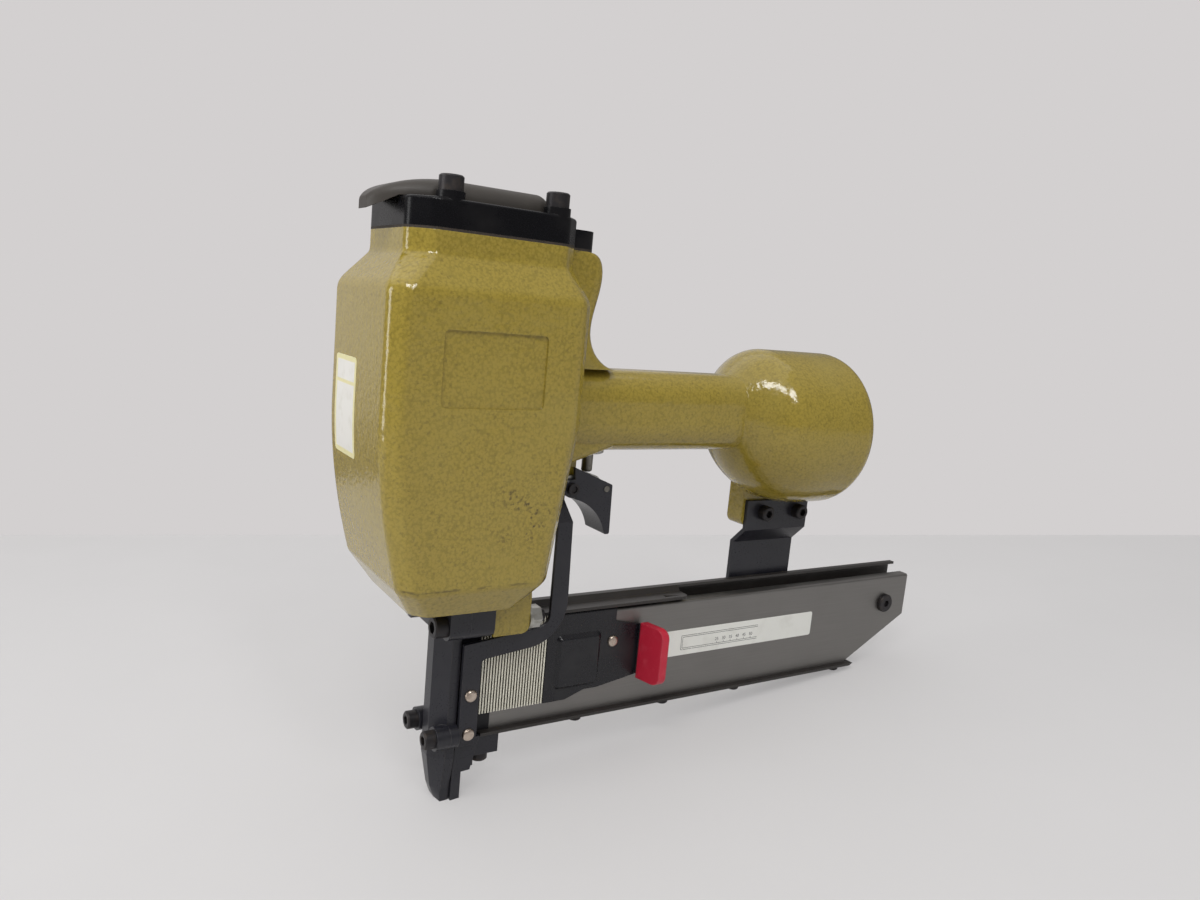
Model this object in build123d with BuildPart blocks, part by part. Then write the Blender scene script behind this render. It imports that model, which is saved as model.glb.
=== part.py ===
from build123d import *
import os
from math import cos, hypot, pi, radians, sin

# Air driven stapler for long narrow staples.
# +X runs to the rear, +Y to the far side and +Z up the driver line.
# The origin is the middle of the staple exit. All sizes are in millimetres.

os.makedirs("parts", exist_ok=True)

# Fits
SLIDE = 0.05  # radial play of round pieces that slide or turn
SEAT = 0.03  # radial play of pieces that stay put
CLEAR = 0.3  # least space between pieces that pass each other
TRACK_PLAY = 0.15  # play of the staples beside their track

# Staples
WIRE = 1.5
CROWN = 10.8
STAPLE_HEIGHT = 45.5
STAPLE_COUNT = 32
GLUE_GROOVE = 0.3  # width of the groove between two staples
GLUE_DEPTH = 0.22

# Driver
BLADE_THICK = 1.5
BLADE_WIDTH = 10.6
BLADE_REST = 1.3  # tip above the crown of the next staple
BLADE_GRIP = 9.0  # length held in the piston
STROKE = 85.0

# Nose
PARTING = 1.0  # plane between the guide plate and the rear guide
GROOVE_FRONT = -0.85  # floor of the driver groove
RIB_FRONT = -9.3  # front of the middle rib
RIB_HALF = 3.5
RIB_TIP_HALF = 2.5
PLATE_FRONT = -3.2  # front of the guide plate
NOSE_HALF = 11.0
TIP_HALF = 8.0
TIP_TAPER = 22.0  # height where the tip starts to narrow
TIP_KNEE = 6.0
TIP_KNEE_FRONT = -6.5
TIP_FRONT = -4.2
GUIDE_REAR = 12.6
GUIDE_HALF = 7.3
GUIDE_BOTTOM = 14.6
GUIDE_TAIL = 26.0  # rear end of the tail under the rail
TAIL_HALF = 6.0
TAIL_HEIGHT = 10.0
EAR_FRONT = -9.0
EAR_HALF = 20.0
EAR_BOTTOM = 82.3
EAR_RADIUS = 5.0
NOSE_TOP = 100.0
FLANGE_BOLT_Y = 14.0
FLANGE_BOLT_Z = 88.6
LOWER_BOLT_Y = 11.0
LOWER_BOLT_Z = 33.8
LOWER_BOSS = 5.5
LOWER_BOSS_FRONT = -9.8

# Fasteners: thread radius, head radius, head height, socket radius
M4 = 2.0
M4_HEAD = 3.5
M4_HEIGHT = 4.0
M4_SOCKET = 1.7
M5 = 2.5
M5_HEAD = 4.25
M5_HEIGHT = 5.0
M5_SOCKET = 2.3
M5_NUT = 4.4
M5_NUT_HEIGHT = 4.0
M6 = 3.0
M6_HEAD = 5.0
M6_HEIGHT = 6.2
M6_SOCKET = 2.9
M6_NUT = 5.5
M6_NUT_HEIGHT = 5.0
M6_WASHER = 6.0
WASHER_THICK = 1.6
FLANGE_BOLT_PROUD = 2.5
SOCKET_SHARE = 0.55  # socket depth as a share of the head height
HEX_SIDES = 6  # sides of nuts and sockets
HEAD_EDGE = 0.6  # chamfer of screw heads
BOLT_PLAY = 0.2  # radial play of a screw in a plain hole

# Cylinder body
BODY_FRONT = -50.2
BODY_REAR = 39.4
BODY_CORNER = 6.0
BODY_RADIUS = 6.0  # rounding of the upright edges
TUCK_TOP = 182.0  # height where the lower body starts to draw in
TUCK_BOTTOM = 113.0
FRONT_TUCK = 10.5
REAR_TUCK = 10.4
FRONT_TUCK_POWER = 1.8
TUCK_STEPS = 3
BOTTOM_INSET = 9.0
SHOULDER = 235.0
NECK_LOW = 248.5
NECK_FRONT = -40.5
NECK_REAR = 36.3
NECK_INSET = 9.2  # step in from the body's side to the neck
NECK_WALL = 3.8  # metal between the bore and the neck's side
NECK_CORNER = 9.0
SEAM = 257.5  # top of the casting, under the gasket
NECK_ROUND = 4.0
SHOULDER_ROUND = 8.0
HIP_ROUND = 6.0
FLOOR_THICK = 8.0
DRIVER_HOLE = 8.0  # radius of the hole through the floor
BORE = 27.0
PANEL_X = -5.75
PANEL_Z = 204.5
PANEL_LENGTH = 45.5
PANEL_HEIGHT = 30.5
PANEL_DEPTH = 0.9
PANEL_RADIUS = 2.0

# Legs that carry the nose
LEG_INNER = 8.6
LEG_OUTER = 19.0
LEG_REAR = 30.8
LEG_BOTTOM = 82.6
LEG_ROOT = 122.0
LEG_RADIUS = 4.0

# Rear column
COLUMN_FRONT = 22.0
COLUMN_TOP_REAR = 51.6
COLUMN_REAR = 54.6
COLUMN_HALF = 15.5
COLUMN_RADIUS = 7.0
COLUMN_FLARE = 18.0
FLARE_TURN = 80  # degrees of turn of the flare
FLARE_STEPS = 4
PASSAGE_X = 43.0
PASSAGE_Y = 8.0
PASSAGE = 2.4

# Handle
HANDLE_TOP = 205.0
HANDLE_BOTTOM = 165.6
HANDLE_WIDTH = 34.0
HANDLE_RADIUS = 14.5
HANDLE_START = 30.0
HANDLE_BORE = 9.0
HANDLE_BORE_Z = 190.0

# End bulb
BULB_START = 149.0
BULB_SHOULDER = 22.0  # length of the upper shoulder
BULB_BELLY = 64.0  # length over which the belly comes down
BULB_POWER = 3.5
BULB_Z = 177.3
BULB_RADIUS = 42.3
BULB_END = 224.0
BULB_EDGE = 9.0
BULB_STEPS = 4
CHAMBER_STEP = 3.0  # from the cover's seat in to the chamber
CHAMBER_FRONT = 182.0

# Valve boss and trigger lug
BOSS_HALF = 13.0
BOSS_FRONT = 30.0
BOSS_LOW_X = 50.6
BOSS_LOW_Z = 160.5
BOSS_SLOPE = 0.332
BOSS_REAR = 84.0
BOSS_DEPTH = 22.0
BOSS_RADIUS = 4.0
LUG_HALF = 3.2
LUG_RADIUS = 4.2

# Trigger valve
STEM_X = 65.9
STEM = 2.7
STEM_BOTTOM = 154.5
STEM_HEAD = 3.4
STEM_HEAD_HEIGHT = 3.0
VALVE_BODY = 7.5
VALVE_BOTTOM = 164.0
VALVE_GUIDE = 8.0  # length of the stem's bearing
VALVE_TOP = 187.0
VALVE_ROOF = 2.5
VALVE_WIRE = 0.8
VALVE_TURNS = 3

# Trigger
PIVOT_X = 53.6
PIVOT_Z = 147.7
PIVOT_PIN = 2.0
PIVOT_HEAD = 2.9
PIVOT_HEAD_LENGTH = 1.6
PIVOT_DIMPLE = 1.7
PIVOT_BOSS = 4.4
TRIGGER_HALF = 8.8
TRIGGER_PLATE = 2.0
TRIGGER_TOP_X = 54.2
TRIGGER_TOP_Z = 158.1
TRIGGER_REAR_X = 76.2
TRIGGER_REAR_Z = 149.1
TRIGGER_TIP_X = 76.8
TRIGGER_TIP_Z = 124.4
TRIGGER_LIP_X = 55.8
TRIGGER_LIP_Z = 142.5
TRIGGER_TIP_WIDTH = 3.0
TRIGGER_DIP = 3.6  # depth of the finger hollow
TRIGGER_WEB = 2.0
TRIGGER_ROUND = 1.0
DOG_X = 72.9
DOG_Z = 147.2
DOG_PIN = 1.5
DOG_EYE = 3.2
DOG_HUMP = 6.0
DOG_PIN_PROUD = 0.4
DOG_HALF = 5.6
DOG_THICK = 2.0
DOG_CREST = 153.7
DOG_FRONT = 61.4
DOG_TONGUE = 49.0
DOG_TONGUE_NEAR = -6.3
DOG_TONGUE_FAR = -4.1

# Contact arm and foot
ARM_THICK = 2.0
ARM_NEAR = -14.0
ARM_LEG_FRONT = 1.2
ARM_LEG_REAR = 10.2
ARM_LEG_BOTTOM = 30.3
ARM_LEG_DROP = 4.3  # from the ears' lower edge down to the bend
ARM_BAND_RISE = 4.9  # rise of the band from the leg to the bar
ARM_BAND_WIDTH = 8.9
ARM_BAR_FRONT = 44.6
ARM_BAR_REAR = 54.0
ARM_BAR_LEAN = 1.6
ARM_BEND_IN = 6.0
ARM_BEND_OUT = 21.0
ARM_CORNER = 2.5
ARM_BAR_TOP = 133.0
ARM_UPPER_NEAR = -6.2
ARM_UPPER_REAR = 51.2
ARM_SHELF_X = 47.4
ARM_SHELF_Z = 150.2
ARM_TOP = 157.4
ARM_TAB_FRONT = 41.0
ARM_TAB_REAR = 47.8
ARM_TAB_FAR = 3.4
ARM_TAB_TOP = 140.0
ARM_JOGGLE_TOP = 142.0
RIVET = 1.6
RIVET_HEAD = 3.0
RIVET_RISE = 1.4
RIVET_X = 6.0
RIVET_LOW = 34.5
RIVET_HIGH = 53.4
FOOT_NEAR = -9.6
FOOT_INNER = 7.6
FOOT_FRONT = 2.2
FOOT_FAR = 8.0
FOOT_TOP = 58.0
FOOT_STEP_X = 14.2
FOOT_STEP_Z = 28.0
FOOT_HEEL = 5.8
FOOT_HEIGHT = 13.8
SPRING_X = 44.5
ARM_SPRING = 2.4
ARM_WIRE = 0.9
ARM_TURNS = 5
ARM_SPRING_TOP = 160.0

# Magazine
SHEET = 1.5
BEND = 2.5  # outer radius of the frame's bends
CORE_BOTTOM = 30.0
CORE_HEIGHT = 52.8
CORE_WALL = 1.2
CORE_REAR = 314.8
CORE_CUT_X = 265.3
CORE_CUT_Z = 56.2
CORE_BEND = 1.5
CORE_SLIP = 0.1  # play of the staples on the rail
FRAME_FRONT = 15.5
FRAME_NEAR = -7.5
FRAME_FAR = 10.0
FLANGE_REAR = 267.0
WEB_REAR = 304.0
WEB_REAR_LOW = 50.0
WEB_FRONT_TOP = 80.0
ROOF_RISE = 2.7  # roof above the ledge
ROOF_NEAR = 4.5
ROOF_FRONT = 42.0
ROOF_REAR = 310.0
LEDGE_GAP = 0.5  # between the staple crowns and the ledge
LEDGE_NEAR = -6.5
LEDGE_FAR = 2.4
LEDGE_FRONT = 33.0
LEDGE_REAR = 134.0
LEDGE_ROUND = 3.0
SLIT_X = 120.0
SLIT_LENGTH = 9.0
SLIT_WIDTH = 2.4
SPACER_LENGTH = 9.0
SPACER_HEIGHT = 8.0
FRONT_SCREW_X = 19.0
FRONT_SCREW_HEAD = 4.25
CORE_BOLT_FIRST = 72.0
CORE_BOLT_SECOND = 127.5
CORE_BOLT_THIRD = 178.4
CORE_BOLT_LAST = 260.0
REAR_SCREW_X = 295.0
REAR_SCREW_Z = 65.5
REAR_SCREW_HEAD = 5.75
REAR_SCREW_RISE = 2.6
SLEEVE_RADIUS = 4.5

# Pusher
PUSHER_GAP = 0.3
PUSHER_FRONT_LENGTH = 39.5
PUSHER_TAB_TOP = 73.5
PUSHER_TAB_BOTTOM = 46.5
PUSHER_LOW = 38.6
PUSHER_STEP_X = 91.3
PUSHER_STEP_Z = 76.2
PUSHER_TOE_X = 61.9
PUSHER_WAIST_X = 72.9
PUSHER_WAIST_Z = 42.5
PUSHER_HEEL_X = 80.7
PUSHER_BEND = 1.2
PUSHER_TAB_X = 105.0
PUSHER_LEAN = 4.0
PUSHER_REACH = 21.0
PUSHER_SHEET = 1.3
EMBOSS_LENGTH = 26.0
EMBOSS_HEIGHT = 28.4
EMBOSS_RISE = 2.0
EMBOSS_DRAFT = 45  # degrees of slope of its sides
EMBOSS_ROUND = 0.8
EMBOSS_CORNER = 3.0
EMBOSS_X = 67.4
EMBOSS_Z = 58.8
GRIP_WALL = 1.5
GRIP_START = 7.2
GRIP_CORNER = 5.0
PUSHER_RIVET_X = 87.8
PUSHER_RIVET_Z = 66.3
COIL_X = 68.0
COIL_Z = 60.0
COIL = 11.0
COIL_HUB = 5.0
COIL_WIDTH = 2.4

# Rear bracket and its lug
BRACKET_FRONT = 175.0
BRACKET_WIDTH = 46.0
BRACKET_THICK = 2.5
BEND_SHARE = 0.32  # height shift of the outer bend line per thickness
BRACKET_NEAR = 1.0
BRACKET_KNEE_DROP = 17.0  # from the bulb down to the upper bend
BRACKET_KNEE_HEIGHT = 9.0
BRACKET_LOW = 66.0
BRACKET_BOLT_DROP = 7.0
BRACKET_BOLT_INSET = 12.0
BRACKET_BOLT_PITCH = 26.0
BRACKET_RIVET_Z = 76.0
BRACKET_RIVET_PITCH = 24.0
BRACKET_LUG_FRONT = 173.0
BRACKET_LUG_REAR = 222.0
BRACKET_LUG_THICK = 12.0
BRACKET_LUG_DROP = 15.0
BRACKET_LUG_ROOTING = 15.0
BRACKET_LUG_RADIUS = 5.0

# Cap and hood
GASKET = 1.0
CAP_HEIGHT = 11.5
LOBE_HEIGHT = 8.0
CAP_EDGE = 1.5
PAD = 5.8
PAD_HEIGHT = 3.0
CAP_BOLT_X = 24.0
CAP_BOLT_INSET = 5.8
CAP_BOLT_LENGTH = 30.0
LOBE_BOLT_X = 41.2
LOBE_BOLT_LENGTH = 20.0
GUIDE_RING = 13.0
HUB = 9.0
HUB_RECESS = 2.0
EXHAUST_HOLE = 2.4
EXHAUST_RADIUS = 5.6
EXHAUST_HOLES = 6
HOOD_GAP = 1.1  # between the hood and the bolt heads
HOOD_REAR = 26.0
HOOD_BACK_X = 20.0
HOOD_ROUND_X = -18.0  # where the front starts to round off
HOOD_LENGTH = 34.0  # length of the rounded front
HOOD_TOP = 278.5
HOOD_TIP_Z = 265.6
HOOD_FOOT = 255.0
HOOD_EDGE = 0.35  # upper corner radius as a share of the half width
HOOD_LIP = 2.2
HOOD_TURN = 76  # degrees of turn covered by the rounded ends
HOOD_STEPS = 5
HOOD_BACK_STEPS = 2
HOOD_WALL = 2.0
HOOD_POST = 5.0
HOOD_SCREW_LENGTH = 14.0

# Cylinder parts
SLEEVE_WALL = 2.5
COLLAR_RISE = 2.0  # collars above the sleeve's wall
COLLAR_HEIGHT = 7.0
COLLAR_MID = 186.0
SEAL_WIRE = 1.1
RETURN_HOLES = 8
RETURN_HOLE = 1.5
RETURN_Z = 138.0
BUMPER_HEIGHT = 18.0
BUMPER_BORE = 8.0
BUMPER_PLAY = 0.4
BUMPER_TAPER = 3.0
PISTON_HEIGHT = 14.0
PISTON_DISH = 8.0
PISTON_HUB = 8.0
PISTON_RIM = 4.0
RING_WIRE = 1.2
SLEEVE_RISE = 3.0  # sleeve above the resting piston
HEAD_SEAL_HEIGHT = 2.0
HEAD_PLATE = 6.0
HEAD_LIFT = 5.0
HUB_HEIGHT = 14.5
HUB_BORE = 6.0
HEAD_SPRING = 16.0
HEAD_WIRE = 2.0
HEAD_TURNS = 3
BLADE_PIN = 1.5

# Air end
BULB_WALL = 9.3
END_CAP_THICK = 9.0
END_CAP_HUB = 13.0
END_CAP_HUB_LENGTH = 6.0
END_SEAL_WIRE = 1.5
RING_SIDES = 8  # facets of the round seal sections
INLET = 5.9
RING_THICK = 1.6
RING_INSET = 1.5
RING_BITE = 1.3  # depth of the ring's groove
RING_WIDTH = 4.0
RING_GAP = 12.0

# Worked out places
body_bottom = NOSE_TOP
neck_half = BORE + NECK_WALL
body_half = neck_half + NECK_INSET
arm_leg_top = EAR_BOTTOM - ARM_LEG_DROP
cap_bolt_y = neck_half - CAP_BOLT_INSET
hood_half = cap_bolt_y - M6_HEAD - HOOD_GAP
floor_top = body_bottom + FLOOR_THICK
core_half = CROWN / 2 - WIRE - CORE_SLIP
core_top = CORE_BOTTOM + CORE_HEIGHT
crown_top = core_top + WIRE
staple_bottom = crown_top - STAPLE_HEIGHT
track_half = CROWN / 2 + TRACK_PLAY
strip_front = PARTING + CORE_SLIP
strip_rear = strip_front + STAPLE_COUNT * WIRE
flange_bottom = CORE_BOTTOM - SHEET
ledge_top = crown_top + LEDGE_GAP + SHEET
roof_top = ledge_top + ROOF_RISE
arm_far = ARM_NEAR + ARM_THICK
bumper_top = floor_top + BUMPER_HEIGHT
piston_bottom = bumper_top + STROKE
piston_top = piston_bottom + PISTON_HEIGHT
blade_tip = crown_top + BLADE_REST
sleeve_top = piston_top + SLEEVE_RISE
collar = BORE - SEAT
sleeve_outer = BORE - COLLAR_RISE
sleeve_bore = sleeve_outer - SLEEVE_WALL
seal_bottom = sleeve_top + CLEAR
plate_bottom = seal_bottom + HEAD_SEAL_HEIGHT
plate_top = plate_bottom + HEAD_PLATE
cap_bottom = SEAM + GASKET
cap_top = cap_bottom + CAP_HEIGHT
lobe_top = cap_bottom + LOBE_HEIGHT
pad_top = cap_top + PAD_HEIGHT
ring_low = plate_top + HEAD_LIFT + 2 * CLEAR
hub_roof = cap_bottom + HUB_RECESS
handle_z = (HANDLE_TOP + HANDLE_BOTTOM) / 2
handle_height = HANDLE_TOP - HANDLE_BOTTOM
pusher_front = strip_rear + PUSHER_GAP
pusher_inner = core_half + CORE_SLIP
pusher_outer = pusher_inner + PUSHER_SHEET
pusher_top = core_top + CORE_SLIP + PUSHER_SHEET
web_near = FRAME_FAR - SHEET
bracket_far = BRACKET_NEAR + BRACKET_THICK
bracket_top = BULB_Z - BULB_RADIUS
end_cap_seat = BULB_RADIUS - BULB_WALL
chamber = end_cap_seat - CHAMBER_STEP
bracket_knee_top = bracket_top - BRACKET_KNEE_DROP
bracket_knee_low = bracket_knee_top - BRACKET_KNEE_HEIGHT
bracket_bolt_z = bracket_top - BRACKET_BOLT_DROP
bracket_lug_bottom = bracket_top - BRACKET_LUG_DROP
bracket_lug_root = bracket_top + BRACKET_LUG_ROOTING
lug_far = bracket_far + BRACKET_LUG_THICK
bracket_bolt_first = BRACKET_FRONT + BRACKET_BOLT_INSET
bracket_bolts_x = (bracket_bolt_first, bracket_bolt_first + BRACKET_BOLT_PITCH)
bracket_mid = BRACKET_FRONT + BRACKET_WIDTH / 2
ring_front = BULB_END - RING_INSET - RING_THICK
end_seat = ring_front - END_CAP_THICK
core_bolts_x = (CORE_BOLT_FIRST, CORE_BOLT_SECOND, CORE_BOLT_THIRD, CORE_BOLT_LAST)
spacers_x = (FRONT_SCREW_X,) + core_bolts_x
flange_spots = ((FLANGE_BOLT_Y, FLANGE_BOLT_Z), (-FLANGE_BOLT_Y, FLANGE_BOLT_Z))
lower_spots = ((LOWER_BOLT_Y, LOWER_BOLT_Z), (-LOWER_BOLT_Y, LOWER_BOLT_Z))
tail_bottom = flange_bottom - TAIL_HEIGHT
hood_mouth = NECK_FRONT - CLEAR
hood_tip = HOOD_ROUND_X - HOOD_LENGTH
seal_levels = (floor_top + COLLAR_HEIGHT / 2, COLLAR_MID + COLLAR_HEIGHT / 2)
return_angles = [2 * pi * hole / RETURN_HOLES for hole in range(RETURN_HOLES)]
piston_radius = sleeve_bore - SLIDE
ring_z = (piston_bottom + PISTON_DISH + piston_top) / 2
blade_pin_z = piston_bottom + BLADE_GRIP / 2
valve_roof = VALVE_TOP - VALVE_ROOF
stem_neck = VALVE_BOTTOM + VALVE_GUIDE + CLEAR
pin_end = TRIGGER_HALF + CLEAR + PIVOT_HEAD_LENGTH
dog_hump_z = DOG_CREST - DOG_HUMP
flange_bolt_length = LEG_REAR + WASHER_THICK + M6_NUT_HEIGHT + FLANGE_BOLT_PROUD - EAR_FRONT
leg_mid = (ARM_LEG_FRONT + ARM_LEG_REAR) / 2
leg_round_z = ARM_LEG_BOTTOM + leg_mid - ARM_LEG_FRONT
foot_front = PARTING + CLEAR
rivet_spots = ((RIVET_X, RIVET_LOW), (RIVET_X, RIVET_HIGH))
glue_lines = [strip_front + WIRE * joint for joint in range(1, STAPLE_COUNT)]
pusher_rear = pusher_front + PUSHER_FRONT_LENGTH
bracket_outer = FRAME_FAR + BRACKET_THICK
bend_shift = BRACKET_THICK * BEND_SHARE
end_seal_x = end_seat + END_CAP_THICK / 2
bulb_axis = Axis((0, 0, BULB_Z), (1, 0, 0))

# Finger web of the trigger, set off square to the line between its ends
web_start = TRIGGER_TIP_X - TRIGGER_TIP_WIDTH
web_run = web_start - TRIGGER_LIP_X
web_drop = TRIGGER_LIP_Z - TRIGGER_TIP_Z
web_span = hypot(web_run, web_drop)
web_x = TRIGGER_WEB * web_drop / web_span
web_z = TRIGGER_WEB * web_run / web_span
web_tip = (web_start + web_x, TRIGGER_TIP_Z + web_z)
web_lip = (TRIGGER_LIP_X + web_x, TRIGGER_LIP_Z + web_z)


cap_spots = GridLocations(2 * CAP_BOLT_X, 2 * cap_bolt_y, 2, 2).local_locations
bracket_spots = [(x, bracket_bolt_z) for x in bracket_bolts_x]
bracket_rivet_spots = [(bracket_mid + side * BRACKET_RIVET_PITCH / 2, BRACKET_RIVET_Z) for side in (-1, 1)]


def boss_height(x):
    """Height of the sloping underside of the valve boss."""
    return BOSS_LOW_Z + (x - BOSS_LOW_X) * BOSS_SLOPE


lug_root = boss_height(PIVOT_X) + LUG_RADIUS
boss_plane = Plane(
    origin=(BOSS_FRONT, 0, boss_height(BOSS_FRONT)), x_dir=(0, 1, 0), z_dir=(1, 0, BOSS_SLOPE)
)


def side_plane(y):
    """Upright plane along the tool at y, drawn in X and Z, facing the near side."""
    return Plane.XZ.offset(-y)


def front_plane(x):
    """Upright plane across the tool at x, facing the front."""
    return Plane(origin=(x, 0, 0), x_dir=(0, -1, 0), z_dir=(-1, 0, 0))


def under_plane(z):
    """Level plane at height z, facing down."""
    return Plane(origin=(0, 0, z), x_dir=(1, 0, 0), z_dir=(0, 0, -1))


def far_plane(y):
    """Upright plane along the tool at y, facing the far side."""
    return Plane(origin=(0, y, 0), x_dir=(-1, 0, 0), z_dir=(0, 1, 0))


def band_height(x):
    """Upper edge of the sloping band of the contact arm."""
    return arm_leg_top + ARM_BAND_RISE * (x - ARM_LEG_FRONT) / (ARM_BAR_FRONT - ARM_LEG_FRONT)


def body_section(height, front, rear, half_width, corner):
    """Rounded octagon across the driver line at the given height."""
    with BuildSketch(Plane.XY.offset(height)) as section:
        with BuildLine():
            Polyline(
                (front, half_width - corner),
                (front + corner, half_width),
                (rear - corner, half_width),
                (rear, half_width - corner),
                (rear, corner - half_width),
                (rear - corner, -half_width),
                (front + corner, -half_width),
                (front, corner - half_width),
                close=True,
            )
        make_face()
        fillet(section.vertices(), BODY_RADIUS)
    return section.sketch


def tuck_section(share):
    """Outline of the lower body at a share of the way down to its bottom edge."""
    return body_section(
        TUCK_TOP - share * (TUCK_TOP - TUCK_BOTTOM),
        BODY_FRONT + FRONT_TUCK * share**FRONT_TUCK_POWER,
        BODY_REAR - REAR_TUCK * share,
        body_half,
        BODY_CORNER,
    )


def bulb_section(share):
    """Oval across the end bulb at a share of the way back along its belly."""
    rise = sin(pi / 2 * min(1, share * BULB_BELLY / BULB_SHOULDER))
    sink = 1 - (1 - share) ** BULB_POWER
    top = HANDLE_TOP + rise * (BULB_Z + BULB_RADIUS - HANDLE_TOP)
    bottom = HANDLE_BOTTOM - sink * (HANDLE_BOTTOM - BULB_Z + BULB_RADIUS)
    half_width = HANDLE_WIDTH / 2 + (rise + sink) / 2 * (BULB_RADIUS - HANDLE_WIDTH / 2)
    with BuildSketch(Plane.YZ.offset(BULB_START + share * BULB_BELLY)) as section:
        with Locations((0, (top + bottom) / 2)):
            Ellipse(half_width, (top - bottom) / 2)
    return section.sketch


def neck_section(height):
    """Outline of the neck, which the gasket and the cap share."""
    return body_section(height, NECK_FRONT, NECK_REAR, neck_half, NECK_CORNER)


def lobe_section(height, rear):
    """Rounded block across the rear column at the given height."""
    with BuildSketch(Plane.XY.offset(height)) as section:
        with Locations(((COLUMN_FRONT + rear) / 2, 0)):
            RectangleRounded(rear - COLUMN_FRONT, 2 * COLUMN_HALF, COLUMN_RADIUS)
    return section.sketch


def cap_screws(seat, spots, thread, length, head, height, socket):
    """Socket head screws whose heads stand on the seat plane."""
    with BuildPart() as screws:
        with BuildSketch(seat):
            with Locations(*spots):
                Circle(head)
        extrude(amount=height)
        chamfer(screws.faces().group_by(Axis(seat.origin, seat.z_dir))[-1].edges(), HEAD_EDGE)
        with BuildSketch(seat):
            with Locations(*spots):
                Circle(thread)
        extrude(amount=-length)
        with BuildSketch(seat.offset(height)):
            with Locations(*spots):
                RegularPolygon(socket, HEX_SIDES)
        extrude(amount=-height * SOCKET_SHARE, mode=Mode.SUBTRACT)
    return screws


def coil_spring(x, y, bottom, top, radius, wire, turns):
    """Round wire compression spring standing on a level seat."""
    free = top - bottom - wire
    with BuildPart() as spring:
        with BuildLine(Plane((x, y, bottom + wire / 2))) as path:
            Helix(free / turns, free, radius)
        with BuildSketch(Plane(origin=path.line @ 0, z_dir=path.line % 0)):
            RegularPolygon(wire / 2, HEX_SIDES)
        sweep(is_frenet=True)
    return spring


def hex_nuts(seat, spots, size, height, thread):
    """Hexagon nuts standing on the seat plane."""
    with BuildPart() as nuts:
        with BuildSketch(seat):
            with Locations(*spots):
                RegularPolygon(size, HEX_SIDES)
                Circle(thread + SEAT, mode=Mode.SUBTRACT)
        extrude(amount=height)
    return nuts


def round_rivets(seat, spots, length):
    """Round head rivets whose heads stand on the seat plane."""
    with BuildPart() as rivets:
        with BuildSketch(seat):
            with Locations(*spots):
                Circle(RIVET_HEAD)
        extrude(amount=RIVET_RISE)
        fillet(rivets.faces().group_by(Axis(seat.origin, seat.z_dir))[-1].edges(), RIVET_RISE - SEAT)
        with BuildSketch(seat):
            with Locations(*spots):
                Circle(RIVET)
        extrude(amount=-length)
    return rivets


def hood_section(x, half_width, top):
    """Section across the hood, round at its upper corners."""
    with BuildSketch(Plane.YZ.offset(x)) as section:
        with Locations((0, HOOD_FOOT)):
            Rectangle(2 * half_width, top - HOOD_FOOT, align=(Align.CENTER, Align.MIN))
        fillet(section.vertices().group_by(Axis.Y)[-1], half_width * HOOD_EDGE)
    return section.sketch


def hood_form(inset):
    """Solid of the visor drawn in by an inset, reaching down past its open underside."""
    half_width = hood_half - inset
    rise = HOOD_TOP - HOOD_TIP_Z - inset
    front = []
    for angle in [radians(HOOD_TURN * step / HOOD_STEPS) for step in range(HOOD_STEPS + 1)]:
        x = HOOD_ROUND_X - (HOOD_LENGTH - inset) * sin(angle)
        front.append(hood_section(x, half_width * cos(angle), HOOD_TIP_Z + rise * cos(angle)))
    back = []
    for angle in [radians(HOOD_TURN * step / HOOD_BACK_STEPS) for step in range(HOOD_BACK_STEPS + 1)]:
        x = HOOD_BACK_X + (HOOD_REAR - HOOD_BACK_X - inset) * sin(angle)
        back.append(hood_section(x, half_width, cap_top + (HOOD_TOP - cap_top - inset) * cos(angle)))
    with BuildPart() as form:
        loft(front)
        extrude(front[0], amount=HOOD_BACK_X - HOOD_ROUND_X)
        loft(back)
    return form


def nose_section(height, front, rib_half, half_width):
    """Tapered rib in front of the guide plate at the given height."""
    with BuildSketch(Plane.XY.offset(height)) as section:
        with BuildLine():
            Polyline(
                (PLATE_FRONT, -half_width),
                (front, -rib_half),
                (front, rib_half),
                (PLATE_FRONT, half_width),
                close=True,
            )
        make_face()
    return section.sketch


def ear_section(x):
    """Bolting ears across the nose, facing the front."""
    with BuildSketch(front_plane(x)) as section:
        with Locations((0, EAR_BOTTOM)):
            Rectangle(2 * EAR_HALF, NOSE_TOP - EAR_BOTTOM, align=(Align.CENTER, Align.MIN))
        fillet(section.vertices().group_by(Axis.Y)[0], EAR_RADIUS)
    return section.sketch


def groove_section(height):
    """Driver groove in front of the parting plane."""
    with BuildSketch(Plane.XY.offset(height)) as section:
        with Locations((PARTING, 0)):
            Rectangle(PARTING - GROOVE_FRONT, 2 * track_half, align=(Align.MAX, Align.CENTER))
    return section.sketch


def bar_section(height, rear, near):
    """Flat bar of the contact arm cut level at the given height."""
    with BuildSketch(Plane.XY.offset(height)) as section:
        with Locations((ARM_BAR_FRONT, near)):
            Rectangle(rear - ARM_BAR_FRONT, ARM_THICK, align=(Align.MIN, Align.MIN))
    return section.sketch


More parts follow.
